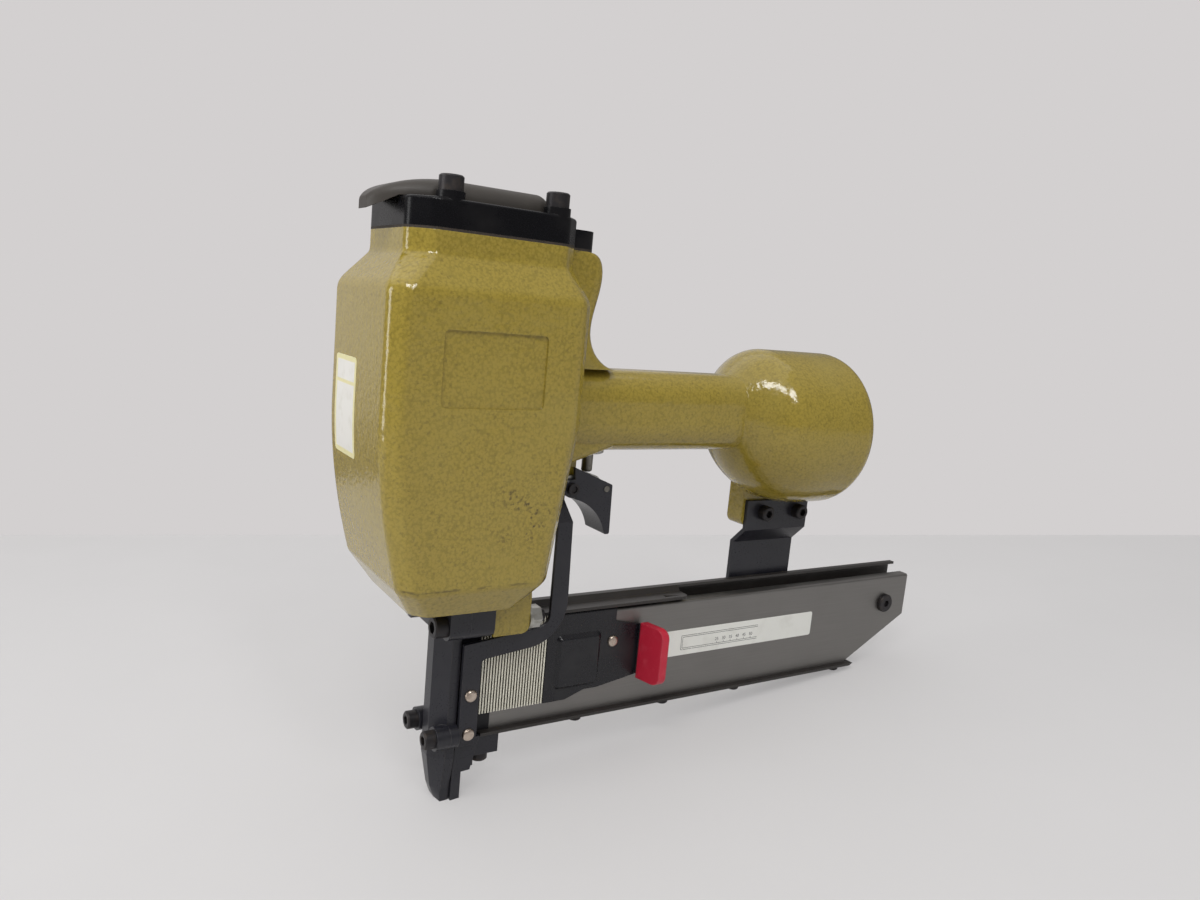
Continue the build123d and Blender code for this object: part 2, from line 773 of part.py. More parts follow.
def tab_plate(start, spread):
    """Pull tab of the pusher from y = -start outward, grown by a spread."""
    reach = PUSHER_REACH + spread
    lean = PUSHER_LEAN / (PUSHER_REACH - pusher_inner)
    root = PUSHER_TAB_X + (start - pusher_inner) * lean
    tip = PUSHER_TAB_X + (reach - pusher_inner) * lean
    with BuildPart() as plate:
        with BuildSketch(Plane.XY.offset(PUSHER_TAB_BOTTOM - spread)):
            with BuildLine():
                Polyline(
                    (root + spread, -start),
                    (root - PUSHER_SHEET - spread, -start),
                    (tip - PUSHER_SHEET - spread, -reach),
                    (tip + spread, -reach),
                    close=True,
                )
            make_face()
        extrude(amount=PUSHER_TAB_TOP - PUSHER_TAB_BOTTOM + 2 * spread)
        fillet(plate.edges().filter_by(Axis.X).group_by(Axis.Y)[0], GRIP_CORNER - GRIP_WALL + spread)
    return plate


with BuildPart() as housing:
    # Cylinder body, straight above and drawn in towards the nose
    main = tuck_section(0)
    hip = tuck_section(1)
    loft([tuck_section(step / TUCK_STEPS) for step in range(TUCK_STEPS + 1)])
    extrude(main, amount=SHOULDER - TUCK_TOP)
    shoulder = body_section(SHOULDER, BODY_FRONT, BODY_REAR, body_half, BODY_CORNER)
    loft([shoulder, neck_section(NECK_LOW)], ruled=True)
    extrude(neck_section(NECK_LOW), amount=SEAM - NECK_LOW)
    sole = body_section(
        body_bottom,
        BODY_FRONT + FRONT_TUCK + BOTTOM_INSET,
        BODY_REAR - REAR_TUCK - BOTTOM_INSET,
        body_half - BOTTOM_INSET,
        BODY_CORNER,
    )
    loft([hip, sole], ruled=True)
    for level, radius in ((NECK_LOW, NECK_ROUND), (SHOULDER, SHOULDER_ROUND), (TUCK_BOTTOM, HIP_ROUND)):
        ring = housing.edges().filter_by_position(Axis.Z, level - SEAT, level + SEAT)
        fillet(ring.filter_by(lambda edge: edge.bounding_box().size.Z < SEAT), radius)

    # Rear column with its flare onto the handle
    flare = [radians(FLARE_TURN * step / FLARE_STEPS) for step in range(FLARE_STEPS + 1)]
    column = [lobe_section(SEAM, COLUMN_TOP_REAR)]
    for angle in flare:
        column.append(
            lobe_section(
                HANDLE_TOP + COLUMN_FLARE * (1 - sin(angle)),
                COLUMN_REAR + COLUMN_FLARE * (1 - cos(angle)),
            )
        )
    loft(column)
    # Handle and end bulb
    with BuildSketch(Plane.YZ.offset(HANDLE_START)):
        with Locations((0, handle_z)):
            RectangleRounded(HANDLE_WIDTH, handle_height, HANDLE_RADIUS)
    extrude(amount=BULB_START + BULB_SHOULDER / 2 - HANDLE_START)
    waist = BULB_SHOULDER / BULB_BELLY
    loft([bulb_section(waist * (step / BULB_STEPS) ** 2) for step in range(BULB_STEPS + 1)])
    loft([bulb_section(waist + (1 - waist) * step / BULB_STEPS) for step in range(BULB_STEPS + 1)])
    with BuildSketch(Plane.YZ.offset(BULB_START + BULB_BELLY)):
        with Locations((0, BULB_Z)):
            Circle(BULB_RADIUS)
    extrude(amount=BULB_END - BULB_START - BULB_BELLY)
    fillet(housing.faces().sort_by(Axis.X)[-1].edges(), BULB_EDGE)
    # Valve boss under the handle, with rounded lower edges
    with BuildSketch(boss_plane):
        with Locations((0, BOSS_DEPTH / 2)):
            RectangleRounded(2 * BOSS_HALF, BOSS_DEPTH, BOSS_RADIUS)
    extrude(amount=BOSS_REAR - BOSS_FRONT)
    with BuildSketch(Plane.XZ):
        with Locations((PIVOT_X, PIVOT_Z)):
            Circle(LUG_RADIUS)
        with Locations((PIVOT_X, (PIVOT_Z + lug_root) / 2)):
            Rectangle(2 * LUG_RADIUS, lug_root - PIVOT_Z)
    extrude(amount=LUG_HALF, both=True)
    # Legs for the nose bolts
    for far_edge in (LEG_OUTER, -LEG_INNER):
        with BuildSketch(side_plane(far_edge)) as leg:
            with BuildLine():
                Polyline(
                    (GUIDE_REAR, LEG_BOTTOM),
                    (LEG_REAR, LEG_BOTTOM),
                    (LEG_REAR, body_bottom),
                    (BODY_REAR - REAR_TUCK, LEG_ROOT),
                    (GUIDE_REAR, LEG_ROOT),
                    close=True,
                )
            make_face()
            fillet(leg.vertices().sort_by_distance((LEG_REAR, LEG_BOTTOM))[0], LEG_RADIUS)
        extrude(amount=LEG_OUTER - LEG_INNER)
    # Lug for the rear bracket
    with BuildSketch(side_plane(lug_far)) as lug:
        with Locations((BRACKET_LUG_FRONT, bracket_lug_bottom)):
            Rectangle(
                BRACKET_LUG_REAR - BRACKET_LUG_FRONT,
                bracket_lug_root - bracket_lug_bottom,
                align=(Align.MIN, Align.MIN),
            )
        fillet(lug.vertices().group_by(Axis.Y)[0], BRACKET_LUG_RADIUS)
    extrude(amount=BRACKET_LUG_THICK)
    # Cylinder bore, driver hole and air ways
    with BuildSketch(Plane.XY.offset(floor_top)):
        Circle(BORE)
    extrude(amount=SEAM - floor_top, mode=Mode.SUBTRACT)
    with BuildSketch(Plane.XY.offset(body_bottom)):
        Circle(DRIVER_HOLE)
    extrude(amount=FLOOR_THICK, mode=Mode.SUBTRACT)
    with BuildSketch(Plane.YZ.offset(sleeve_bore)):
        with Locations((0, HANDLE_BORE_Z)):
            Circle(HANDLE_BORE)
    extrude(amount=CHAMBER_FRONT - sleeve_bore, mode=Mode.SUBTRACT)
    with BuildSketch(Plane.XY.offset(SEAM)):
        with Locations((PASSAGE_X, PASSAGE_Y)):
            Circle(PASSAGE)
    extrude(amount=HANDLE_BORE_Z - SEAM, mode=Mode.SUBTRACT)
    # Air chamber, end cap seat and ring groove
    with BuildSketch(Plane.YZ.offset(CHAMBER_FRONT)):
        with Locations((0, BULB_Z)):
            Circle(chamber)
    extrude(amount=BULB_END - CHAMBER_FRONT, mode=Mode.SUBTRACT)
    with BuildSketch(Plane.YZ.offset(end_seat)):
        with Locations((0, BULB_Z)):
            Circle(end_cap_seat)
    extrude(amount=BULB_END - end_seat, mode=Mode.SUBTRACT)
    with BuildSketch(Plane.YZ.offset(ring_front)):
        with Locations((0, BULB_Z)):
            Circle(end_cap_seat + RING_BITE)
    extrude(amount=RING_THICK, mode=Mode.SUBTRACT)
    # Trigger valve seat, spring pocket and pivot hole
    with BuildSketch(Plane.XY.offset(VALVE_TOP)):
        with Locations((STEM_X, 0)):
            Circle(VALVE_BODY + SEAT)
    extrude(amount=PIVOT_Z - VALVE_TOP, mode=Mode.SUBTRACT)
    with BuildSketch(Plane.XY.offset(ARM_SPRING_TOP)):
        with Locations((SPRING_X, 0)):
            Circle(ARM_SPRING + ARM_WIRE)
    extrude(amount=PIVOT_Z - ARM_SPRING_TOP, mode=Mode.SUBTRACT)
    with BuildSketch(Plane.XZ):
        with Locations((PIVOT_X, PIVOT_Z)):
            Circle(PIVOT_PIN + SEAT)
    extrude(amount=LUG_HALF, both=True, mode=Mode.SUBTRACT)
    # Screw holes
    with BuildSketch(Plane.YZ.offset(GUIDE_REAR)):
        with Locations(*flange_spots):
            Circle(M6 + BOLT_PLAY)
    extrude(amount=LEG_REAR - GUIDE_REAR, mode=Mode.SUBTRACT)
    with BuildSketch(side_plane(lug_far)):
        with Locations(*bracket_spots):
            Circle(M5 + BOLT_PLAY)
    extrude(amount=BRACKET_LUG_THICK, mode=Mode.SUBTRACT)
    with BuildSketch(Plane.XY.offset(SEAM)):
        with Locations(*cap_spots):
            Circle(M6 + SEAT)
    extrude(amount=pad_top - CAP_BOLT_LENGTH - SEAM - CLEAR, mode=Mode.SUBTRACT)
    with BuildSketch(Plane.XY.offset(SEAM)):
        with Locations((LOBE_BOLT_X, 0)):
            Circle(M5 + SEAT)
    extrude(amount=lobe_top - LOBE_BOLT_LENGTH - SEAM - CLEAR, mode=Mode.SUBTRACT)
    # Plain sunk panel on the near side
    with BuildSketch(side_plane(-body_half)):
        with Locations((PANEL_X, PANEL_Z)):
            RectangleRounded(PANEL_LENGTH, PANEL_HEIGHT, PANEL_RADIUS)
    extrude(amount=-PANEL_DEPTH, mode=Mode.SUBTRACT)
housing.part.label = "housing"
export_step(housing.part, "parts/housing.step")

with BuildPart() as cap_gasket:
    extrude(neck_section(SEAM), amount=GASKET)
    extrude(lobe_section(SEAM, COLUMN_TOP_REAR), amount=GASKET)
    with BuildSketch(Plane.XY.offset(SEAM)):
        Circle(BORE)
        with Locations(*cap_spots):
            Circle(M6 + BOLT_PLAY)
        with Locations((LOBE_BOLT_X, 0)):
            Circle(M5 + BOLT_PLAY)
        with Locations((PASSAGE_X, PASSAGE_Y)):
            Circle(PASSAGE)
    extrude(amount=GASKET, mode=Mode.SUBTRACT)
cap_gasket.part.label = "cap_gasket"
export_step(cap_gasket.part, "parts/cap_gasket.step")

with BuildPart() as cylinder_cap:
    extrude(neck_section(cap_bottom), amount=CAP_HEIGHT)
    extrude(lobe_section(cap_bottom, COLUMN_TOP_REAR), amount=LOBE_HEIGHT)
    fillet(cylinder_cap.faces().filter_by(Axis.Z).sort_by(Axis.Z)[-1].edges(), CAP_EDGE)
    with BuildSketch(Plane.XY.offset(cap_bottom)):
        with Locations(*cap_spots):
            Circle(PAD)
    extrude(amount=pad_top - cap_bottom)
    # Guide for the head valve, with the exhaust holes over it
    with BuildSketch(Plane.XY.offset(ring_low)):
        Circle(GUIDE_RING)
    extrude(amount=cap_bottom - ring_low)
    with BuildSketch(Plane.XY.offset(ring_low)):
        Circle(HUB + SLIDE)
    extrude(amount=hub_roof - ring_low, mode=Mode.SUBTRACT)
    with BuildSketch(Plane.XY.offset(hub_roof)):
        Circle(M4 + SEAT)
        with PolarLocations(EXHAUST_RADIUS, EXHAUST_HOLES):
            Circle(EXHAUST_HOLE)
    extrude(amount=cap_top - hub_roof, mode=Mode.SUBTRACT)
    # Air way from the column to the space over the head valve
    with BuildSketch(Plane.XY.offset(cap_bottom)):
        with Locations(((PASSAGE_X + GUIDE_RING) / 2, PASSAGE_Y)):
            SlotCenterToCenter(PASSAGE_X - GUIDE_RING, 2 * PASSAGE)
    extrude(amount=PASSAGE, mode=Mode.SUBTRACT)
    with BuildSketch(Plane.XY.offset(cap_bottom)):
        with Locations(*cap_spots):
            Circle(M6 + BOLT_PLAY)
        with Locations((LOBE_BOLT_X, 0)):
            Circle(M5 + BOLT_PLAY)
    extrude(amount=pad_top - cap_bottom, mode=Mode.SUBTRACT)
cylinder_cap.part.label = "cylinder_cap"
export_step(cylinder_cap.part, "parts/cylinder_cap.step")

cap_bolts = cap_screws(
    Plane.XY.offset(pad_top), cap_spots, M6, CAP_BOLT_LENGTH, M6_HEAD, M6_HEIGHT, M6_SOCKET
)
cap_bolts.part.label = "cap_bolts"
export_step(cap_bolts.part, "parts/cap_bolts.step")

rear_cap_bolt = cap_screws(
    Plane.XY.offset(lobe_top), [(LOBE_BOLT_X, 0)], M5, LOBE_BOLT_LENGTH, M5_HEAD, M5_HEIGHT, M5_SOCKET
)
rear_cap_bolt.part.label = "rear_cap_bolt"
export_step(rear_cap_bolt.part, "parts/rear_cap_bolt.step")

exhaust_hood_outer = hood_form(0)
exhaust_hood_inner = hood_form(HOOD_WALL)
with BuildPart() as exhaust_hood:
    add(exhaust_hood_outer.part)
    add(exhaust_hood_inner.part, mode=Mode.SUBTRACT)
    with BuildSketch(Plane.XY.offset(cap_top)):
        Circle(HOOD_POST)
    extrude(amount=HOOD_TOP - HOOD_WALL / 2 - cap_top)
    # Flat foot on the cap and the slanted mouth in front of it
    with BuildSketch(Plane.XZ):
        with BuildLine():
            Polyline(
                (HOOD_REAR, cap_top),
                (hood_mouth, cap_top),
                (hood_tip, HOOD_TIP_Z - HOOD_LIP),
                (hood_tip, HOOD_FOOT),
                (HOOD_REAR, HOOD_FOOT),
                close=True,
            )
        make_face()
    extrude(amount=hood_half + CLEAR, both=True, mode=Mode.SUBTRACT)
    with BuildSketch(Plane.XY.offset(cap_top)):
        Circle(M4 + SEAT)
    extrude(amount=hub_roof + HOOD_SCREW_LENGTH - cap_top + CLEAR, mode=Mode.SUBTRACT)
exhaust_hood.part.label = "exhaust_hood"
export_step(exhaust_hood.part, "parts/exhaust_hood.step")

hood_screw = cap_screws(
    under_plane(hub_roof), [(0, 0)], M4, HOOD_SCREW_LENGTH, M4_HEAD, M4_HEIGHT, M4_SOCKET
)
hood_screw.part.label = "hood_screw"
export_step(hood_screw.part, "parts/hood_screw.step")

with BuildPart() as cylinder_sleeve:
    with BuildSketch(Plane.XZ):
        with BuildLine():
            Polyline(
                (sleeve_bore, floor_top),
                (collar, floor_top),
                (collar, floor_top + COLLAR_HEIGHT),
                (sleeve_outer, floor_top + COLLAR_HEIGHT),
                (sleeve_outer, COLLAR_MID),
                (collar, COLLAR_MID),
                (collar, COLLAR_MID + COLLAR_HEIGHT),
                (sleeve_outer, COLLAR_MID + COLLAR_HEIGHT),
                (sleeve_outer, sleeve_top),
                (sleeve_bore, sleeve_top),
                close=True,
            )
        make_face()
    revolve(axis=Axis.Z)
    # Seal grooves in the collars and the return holes
    with BuildSketch(Plane.XZ):
        with Locations(*[(collar - SEAL_WIRE, level) for level in seal_levels]):
            Rectangle(2 * SEAL_WIRE + 2 * SEAT, 2 * SEAL_WIRE + 2 * SEAT)
    revolve(axis=Axis.Z, mode=Mode.SUBTRACT)
    with BuildSketch(*[Plane(origin=(0, 0, RETURN_Z), z_dir=(cos(a), sin(a), 0)) for a in return_angles]):
        Circle(RETURN_HOLE)
    extrude(amount=BORE, mode=Mode.SUBTRACT)
cylinder_sleeve.part.label = "cylinder_sleeve"
export_step(cylinder_sleeve.part, "parts/cylinder_sleeve.step")

with BuildPart() as sleeve_seals:
    with BuildSketch(Plane.XZ):
        with Locations(*[(collar - SEAL_WIRE, level) for level in seal_levels]):
            RegularPolygon(SEAL_WIRE, RING_SIDES)
    revolve(axis=Axis.Z)
sleeve_seals.part.label = "sleeve_seals"
export_step(sleeve_seals.part, "parts/sleeve_seals.step")

with BuildPart() as bumper:
    with BuildSketch(Plane.XZ):
        with BuildLine():
            Polyline(
                (BUMPER_BORE, floor_top),
                (sleeve_bore - BUMPER_PLAY, floor_top),
                (sleeve_bore - BUMPER_PLAY, bumper_top - BUMPER_TAPER),
                (sleeve_bore - BUMPER_PLAY - BUMPER_TAPER, bumper_top),
                (BUMPER_BORE, bumper_top),
                close=True,
            )
        make_face()
    revolve(axis=Axis.Z)
bumper.part.label = "bumper"
export_step(bumper.part, "parts/bumper.step")

with BuildPart() as piston:
    with BuildSketch(Plane.XZ):
        with BuildLine():
            Polyline(
                (0, piston_bottom),
                (PISTON_HUB, piston_bottom),
                (PISTON_HUB, piston_bottom + PISTON_DISH),
                (piston_radius - PISTON_RIM, piston_bottom + PISTON_DISH),
                (piston_radius - PISTON_RIM, piston_bottom),
                (piston_radius, piston_bottom),
                (piston_radius, piston_top),
                (0, piston_top),
                close=True,
            )
        make_face()
    revolve(axis=Axis.Z)
    with BuildSketch(Plane.XZ):
        with Locations((piston_radius - RING_WIRE, ring_z)):
            Rectangle(2 * RING_WIRE + 2 * SEAT, 2 * RING_WIRE + 2 * SEAT)
    revolve(axis=Axis.Z, mode=Mode.SUBTRACT)
    # Slot for the blade and the hole of its cross pin
    with BuildSketch(Plane.XY.offset(piston_bottom)):
        Rectangle(BLADE_THICK + 2 * SEAT, BLADE_WIDTH + 2 * SEAT)
    extrude(amount=BLADE_GRIP + SEAT, mode=Mode.SUBTRACT)
    with BuildSketch(Plane.YZ.offset(-PISTON_HUB)):
        with Locations((0, blade_pin_z)):
            Circle(BLADE_PIN + SEAT)
    extrude(amount=2 * PISTON_HUB, mode=Mode.SUBTRACT)
piston.part.label = "piston"
export_step(piston.part, "parts/piston.step")

with BuildPart() as piston_ring:
    with BuildSketch(Plane.XZ):
        with Locations((piston_radius - RING_WIRE, ring_z)):
            RegularPolygon(RING_WIRE, RING_SIDES)
    revolve(axis=Axis.Z)
piston_ring.part.label = "piston_ring"
export_step(piston_ring.part, "parts/piston_ring.step")

with BuildPart() as driver_blade:
    with BuildSketch(Plane.XY.offset(blade_tip)):
        Rectangle(BLADE_THICK, BLADE_WIDTH)
    extrude(amount=piston_bottom + BLADE_GRIP - blade_tip)
    with BuildSketch(Plane.YZ.offset(-BLADE_THICK / 2)):
        with Locations((0, blade_pin_z)):
            Circle(BLADE_PIN + SEAT)
    extrude(amount=BLADE_THICK, mode=Mode.SUBTRACT)
driver_blade.part.label = "driver_blade"
export_step(driver_blade.part, "parts/driver_blade.step")

with BuildPart() as blade_pin:
    with BuildSketch(Plane.YZ.offset(-PISTON_HUB)):
        with Locations((0, blade_pin_z)):
            Circle(BLADE_PIN)
    extrude(amount=2 * PISTON_HUB)
blade_pin.part.label = "blade_pin"
export_step(blade_pin.part, "parts/blade_pin.step")

with BuildPart() as head_valve:
    with BuildSketch(Plane.XY.offset(plate_bottom)):
        Circle(BORE - SLIDE)
    extrude(amount=HEAD_PLATE)
    with BuildSketch(Plane.XY.offset(plate_top)):
        Circle(HUB)
    extrude(amount=HUB_HEIGHT)
    with BuildSketch(Plane.XY.offset(plate_bottom)):
        Circle(HUB_BORE)
    extrude(amount=HEAD_PLATE + HUB_HEIGHT, mode=Mode.SUBTRACT)
head_valve.part.label = "head_valve"
export_step(head_valve.part, "parts/head_valve.step")

with BuildPart() as head_valve_seal:
    with BuildSketch(Plane.XY.offset(seal_bottom)):
        Circle(sleeve_outer + BUMPER_PLAY)
        Circle(sleeve_bore - SLEEVE_WALL, mode=Mode.SUBTRACT)
    extrude(amount=HEAD_SEAL_HEIGHT)
head_valve_seal.part.label = "head_valve_seal"
export_step(head_valve_seal.part, "parts/head_valve_seal.step")

head_valve_spring = coil_spring(0, 0, plate_top, cap_bottom, HEAD_SPRING, HEAD_WIRE, HEAD_TURNS)
head_valve_spring.part.label = "head_valve_spring"
export_step(head_valve_spring.part, "parts/head_valve_spring.step")

with BuildPart() as trigger_valve_body:
    with BuildSketch(Plane.XY.offset(VALVE_BOTTOM)):
        with Locations((STEM_X, 0)):
            Circle(VALVE_BODY)
    extrude(amount=VALVE_TOP - VALVE_BOTTOM)
    chamfer(trigger_valve_body.faces().sort_by(Axis.Z)[0].edges(), HEAD_EDGE)
    with BuildSketch(Plane.XY.offset(VALVE_BOTTOM)):
        with Locations((STEM_X, 0)):
            Circle(STEM + SLIDE)
    extrude(amount=VALVE_GUIDE, mode=Mode.SUBTRACT)
    with BuildSketch(Plane.XY.offset(VALVE_BOTTOM + VALVE_GUIDE)):
        with Locations((STEM_X, 0)):
            Circle(STEM_HEAD + CLEAR)
    extrude(amount=valve_roof - VALVE_BOTTOM - VALVE_GUIDE, mode=Mode.SUBTRACT)
trigger_valve_body.part.label = "trigger_valve_body"
export_step(trigger_valve_body.part, "parts/trigger_valve_body.step")

with BuildPart() as valve_stem:
    with BuildSketch(Plane.XY.offset(STEM_BOTTOM)):
        with Locations((STEM_X, 0)):
            Circle(STEM)
    extrude(amount=stem_neck - STEM_BOTTOM)
    chamfer(valve_stem.faces().sort_by(Axis.Z)[0].edges(), HEAD_EDGE)
    with BuildSketch(Plane.XY.offset(stem_neck)):
        with Locations((STEM_X, 0)):
            Circle(STEM_HEAD)
    extrude(amount=STEM_HEAD_HEIGHT)
valve_stem.part.label = "valve_stem"
export_step(valve_stem.part, "parts/valve_stem.step")

valve_spring = coil_spring(
    STEM_X, 0, stem_neck + STEM_HEAD_HEIGHT, valve_roof, STEM_HEAD - VALVE_WIRE, VALVE_WIRE, VALVE_TURNS
)
valve_spring.part.label = "valve_spring"
export_step(valve_spring.part, "parts/valve_spring.step")

with BuildPart() as trigger:
    with BuildSketch(side_plane(TRIGGER_HALF)) as cheek:
        with BuildLine():
            Polyline(
                (TRIGGER_LIP_X, TRIGGER_LIP_Z),
                (TRIGGER_TOP_X, TRIGGER_TOP_Z),
                (TRIGGER_REAR_X, TRIGGER_REAR_Z),
                (TRIGGER_TIP_X, TRIGGER_TIP_Z),
                (web_start, TRIGGER_TIP_Z),
            )
            SagittaArc((web_start, TRIGGER_TIP_Z), (TRIGGER_LIP_X, TRIGGER_LIP_Z), -TRIGGER_DIP)
        make_face()
        fillet(cheek.vertices().sort_by(Axis.X)[-3:], TRIGGER_ROUND)
        with Locations((PIVOT_X, PIVOT_Z)):
            Circle(PIVOT_BOSS)
    extrude(amount=2 * TRIGGER_HALF)
    # Open between the cheeks above the finger web
    with BuildSketch(side_plane(TRIGGER_HALF - TRIGGER_PLATE)):
        with BuildLine():
            SagittaArc(web_tip, web_lip, -TRIGGER_DIP)
            Polyline(
                web_lip,
                (TRIGGER_LIP_X, TRIGGER_LIP_Z),
                (PIVOT_X - 2 * PIVOT_BOSS, TRIGGER_LIP_Z - PIVOT_BOSS),
                (PIVOT_X - 2 * PIVOT_BOSS, TRIGGER_TOP_Z + TRIGGER_WEB),
                (TRIGGER_TIP_X + 2 * TRIGGER_WEB, TRIGGER_TOP_Z + TRIGGER_WEB),
                web_tip,
            )
        make_face()
    extrude(amount=2 * (TRIGGER_HALF - TRIGGER_PLATE), mode=Mode.SUBTRACT)
    with BuildSketch(side_plane(TRIGGER_HALF)):
        with Locations((PIVOT_X, PIVOT_Z)):
            Circle(PIVOT_PIN + SLIDE)
        with Locations((DOG_X, DOG_Z)):
            Circle(DOG_PIN + SEAT)
    extrude(amount=2 * TRIGGER_HALF, mode=Mode.SUBTRACT)
trigger.part.label = "trigger"
export_step(trigger.part, "parts/trigger.step")

with BuildPart() as trigger_pin:
    with BuildSketch(Plane.XZ):
        with Locations((PIVOT_X, PIVOT_Z)):
            Circle(PIVOT_PIN)
    extrude(amount=TRIGGER_HALF + CLEAR, both=True)
    for seat in (side_plane(-TRIGGER_HALF - CLEAR), side_plane(TRIGGER_HALF + CLEAR + PIVOT_HEAD_LENGTH)):
        with BuildSketch(seat):
            with Locations((PIVOT_X, PIVOT_Z)):
                Circle(PIVOT_HEAD)
        extrude(amount=PIVOT_HEAD_LENGTH)
    with BuildSketch(side_plane(-pin_end)):
        with Locations((PIVOT_X, PIVOT_Z)):
            Circle(PIVOT_DIMPLE)
    extrude(amount=-PIVOT_HEAD_LENGTH / 2, mode=Mode.SUBTRACT)
trigger_pin.part.label = "trigger_pin"
export_step(trigger_pin.part, "parts/trigger_pin.step")

with BuildPart() as dog_lever:
    with BuildSketch(Plane.XZ):
        with Locations((STEM_X, dog_hump_z)):
            Circle(DOG_HUMP)
        with Locations((DOG_FRONT, DOG_Z - DOG_THICK)):
            Rectangle(
                DOG_X - DOG_FRONT, DOG_HUMP + 2 * DOG_THICK, align=(Align.MIN, Align.MIN), mode=Mode.INTERSECT
            )
        with Locations((DOG_X, DOG_Z)):
            Circle(DOG_EYE)
    extrude(amount=DOG_HALF, both=True)
    # Tongue over the top of the contact arm
    with BuildSketch(side_plane(DOG_TONGUE_FAR)):
        with Locations((DOG_TONGUE, DOG_CREST - DOG_THICK)):
            Rectangle(STEM_X - DOG_TONGUE, DOG_THICK, align=(Align.MIN, Align.MIN))
    extrude(amount=DOG_TONGUE_FAR - DOG_TONGUE_NEAR)
    with BuildSketch(Plane.XZ):
        with Locations((DOG_X, DOG_Z)):
            Circle(DOG_PIN + SLIDE)
    extrude(amount=DOG_HALF, both=True, mode=Mode.SUBTRACT)
dog_lever.part.label = "dog_lever"
export_step(dog_lever.part, "parts/dog_lever.step")

with BuildPart() as dog_pin:
    with BuildSketch(Plane.XZ):
        with Locations((DOG_X, DOG_Z)):
            Circle(DOG_PIN)
    extrude(amount=TRIGGER_HALF + DOG_PIN_PROUD, both=True)
dog_pin.part.label = "dog_pin"
export_step(dog_pin.part, "parts/dog_pin.step")

with BuildPart() as nose_front_plate:
    # Ribbed face with the tapered tip
    blunt = nose_section(TIP_TAPER, RIB_FRONT, RIB_HALF, NOSE_HALF)
    knee = nose_section(TIP_KNEE, TIP_KNEE_FRONT, RIB_TIP_HALF, TIP_HALF)
    extrude(blunt, amount=EAR_BOTTOM - TIP_TAPER)
    loft([blunt, knee, nose_section(0, TIP_FRONT, RIB_TIP_HALF, TIP_HALF)], ruled=True)
    with BuildSketch(front_plane(PLATE_FRONT)):
        with Locations(*lower_spots):
            Circle(LOWER_BOSS)
    extrude(amount=PLATE_FRONT - LOWER_BOSS_FRONT)
    # Ears with the driver groove behind them
    extrude(ear_section(PARTING), amount=PARTING - EAR_FRONT)
    extrude(groove_section(EAR_BOTTOM), amount=NOSE_TOP - EAR_BOTTOM, mode=Mode.SUBTRACT)
    with BuildSketch(front_plane(PARTING)):
        with Locations(*flange_spots):
            Circle(M6 + BOLT_PLAY)
        with Locations(*lower_spots):
            Circle(M5 + BOLT_PLAY)
    extrude(amount=PARTING - LOWER_BOSS_FRONT, mode=Mode.SUBTRACT)
nose_front_plate.part.label = "nose_front_plate"
export_step(nose_front_plate.part, "parts/nose_front_plate.step")

with BuildPart() as driver_guide_plate:
    with BuildSketch(front_plane(PARTING)):
        with BuildLine():
            Polyline(
                (TIP_HALF, 0),
                (TIP_HALF, TIP_KNEE),
                (NOSE_HALF, TIP_TAPER),
                (NOSE_HALF, EAR_BOTTOM),
                (-NOSE_HALF, EAR_BOTTOM),
                (-NOSE_HALF, TIP_TAPER),
                (-TIP_HALF, TIP_KNEE),
                (-TIP_HALF, 0),
                close=True,
            )
        make_face()
        with Locations(*lower_spots):
            Circle(LOWER_BOSS)
    extrude(amount=PARTING - PLATE_FRONT)
    extrude(groove_section(0), amount=EAR_BOTTOM, mode=Mode.SUBTRACT)
    with BuildSketch(front_plane(PARTING)):
        with Locations(*lower_spots):
            Circle(M5 + SEAT)
    extrude(amount=PARTING - PLATE_FRONT, mode=Mode.SUBTRACT)
driver_guide_plate.part.label = "driver_guide_plate"
export_step(driver_guide_plate.part, "parts/driver_guide_plate.step")

with BuildPart() as nose_rear_guide:
    extrude(ear_section(GUIDE_REAR), amount=GUIDE_REAR - PARTING)
    with BuildSketch(front_plane(GUIDE_REAR)):
        with Locations((0, GUIDE_BOTTOM)):
            Rectangle(2 * GUIDE_HALF, EAR_BOTTOM - GUIDE_BOTTOM, align=(Align.CENTER, Align.MIN))
    extrude(amount=GUIDE_REAR - PARTING)
    with BuildSketch(front_plane(GUIDE_TAIL)):
        with Locations((0, tail_bottom)):
            Rectangle(2 * TAIL_HALF, TAIL_HEIGHT, align=(Align.CENTER, Align.MIN))
    extrude(amount=GUIDE_TAIL - GUIDE_REAR)
    # Window for the staples and their rail
    with BuildSketch(front_plane(GUIDE_REAR)):
        with Locations((0, CORE_BOTTOM)):
            Rectangle(2 * track_half, crown_top + CLEAR - CORE_BOTTOM, align=(Align.CENTER, Align.MIN))
        with Locations(*flange_spots):
            Circle(M6 + BOLT_PLAY)
    extrude(amount=GUIDE_REAR - PARTING, mode=Mode.SUBTRACT)
    with BuildSketch(Plane.XY.offset(tail_bottom)):
        with Locations((FRONT_SCREW_X, 0)):
            Circle(M4 + BOLT_PLAY)
    extrude(amount=TAIL_HEIGHT, mode=Mode.SUBTRACT)
nose_rear_guide.part.label = "nose_rear_guide"
export_step(nose_rear_guide.part, "parts/nose_rear_guide.step")

nose_lower_bolts = cap_screws(
    front_plane(LOWER_BOSS_FRONT), lower_spots, M5, PARTING - LOWER_BOSS_FRONT, M5_HEAD, M5_HEIGHT, M5_SOCKET
)
nose_lower_bolts.part.label = "nose_lower_bolts"
export_step(nose_lower_bolts.part, "parts/nose_lower_bolts.step")

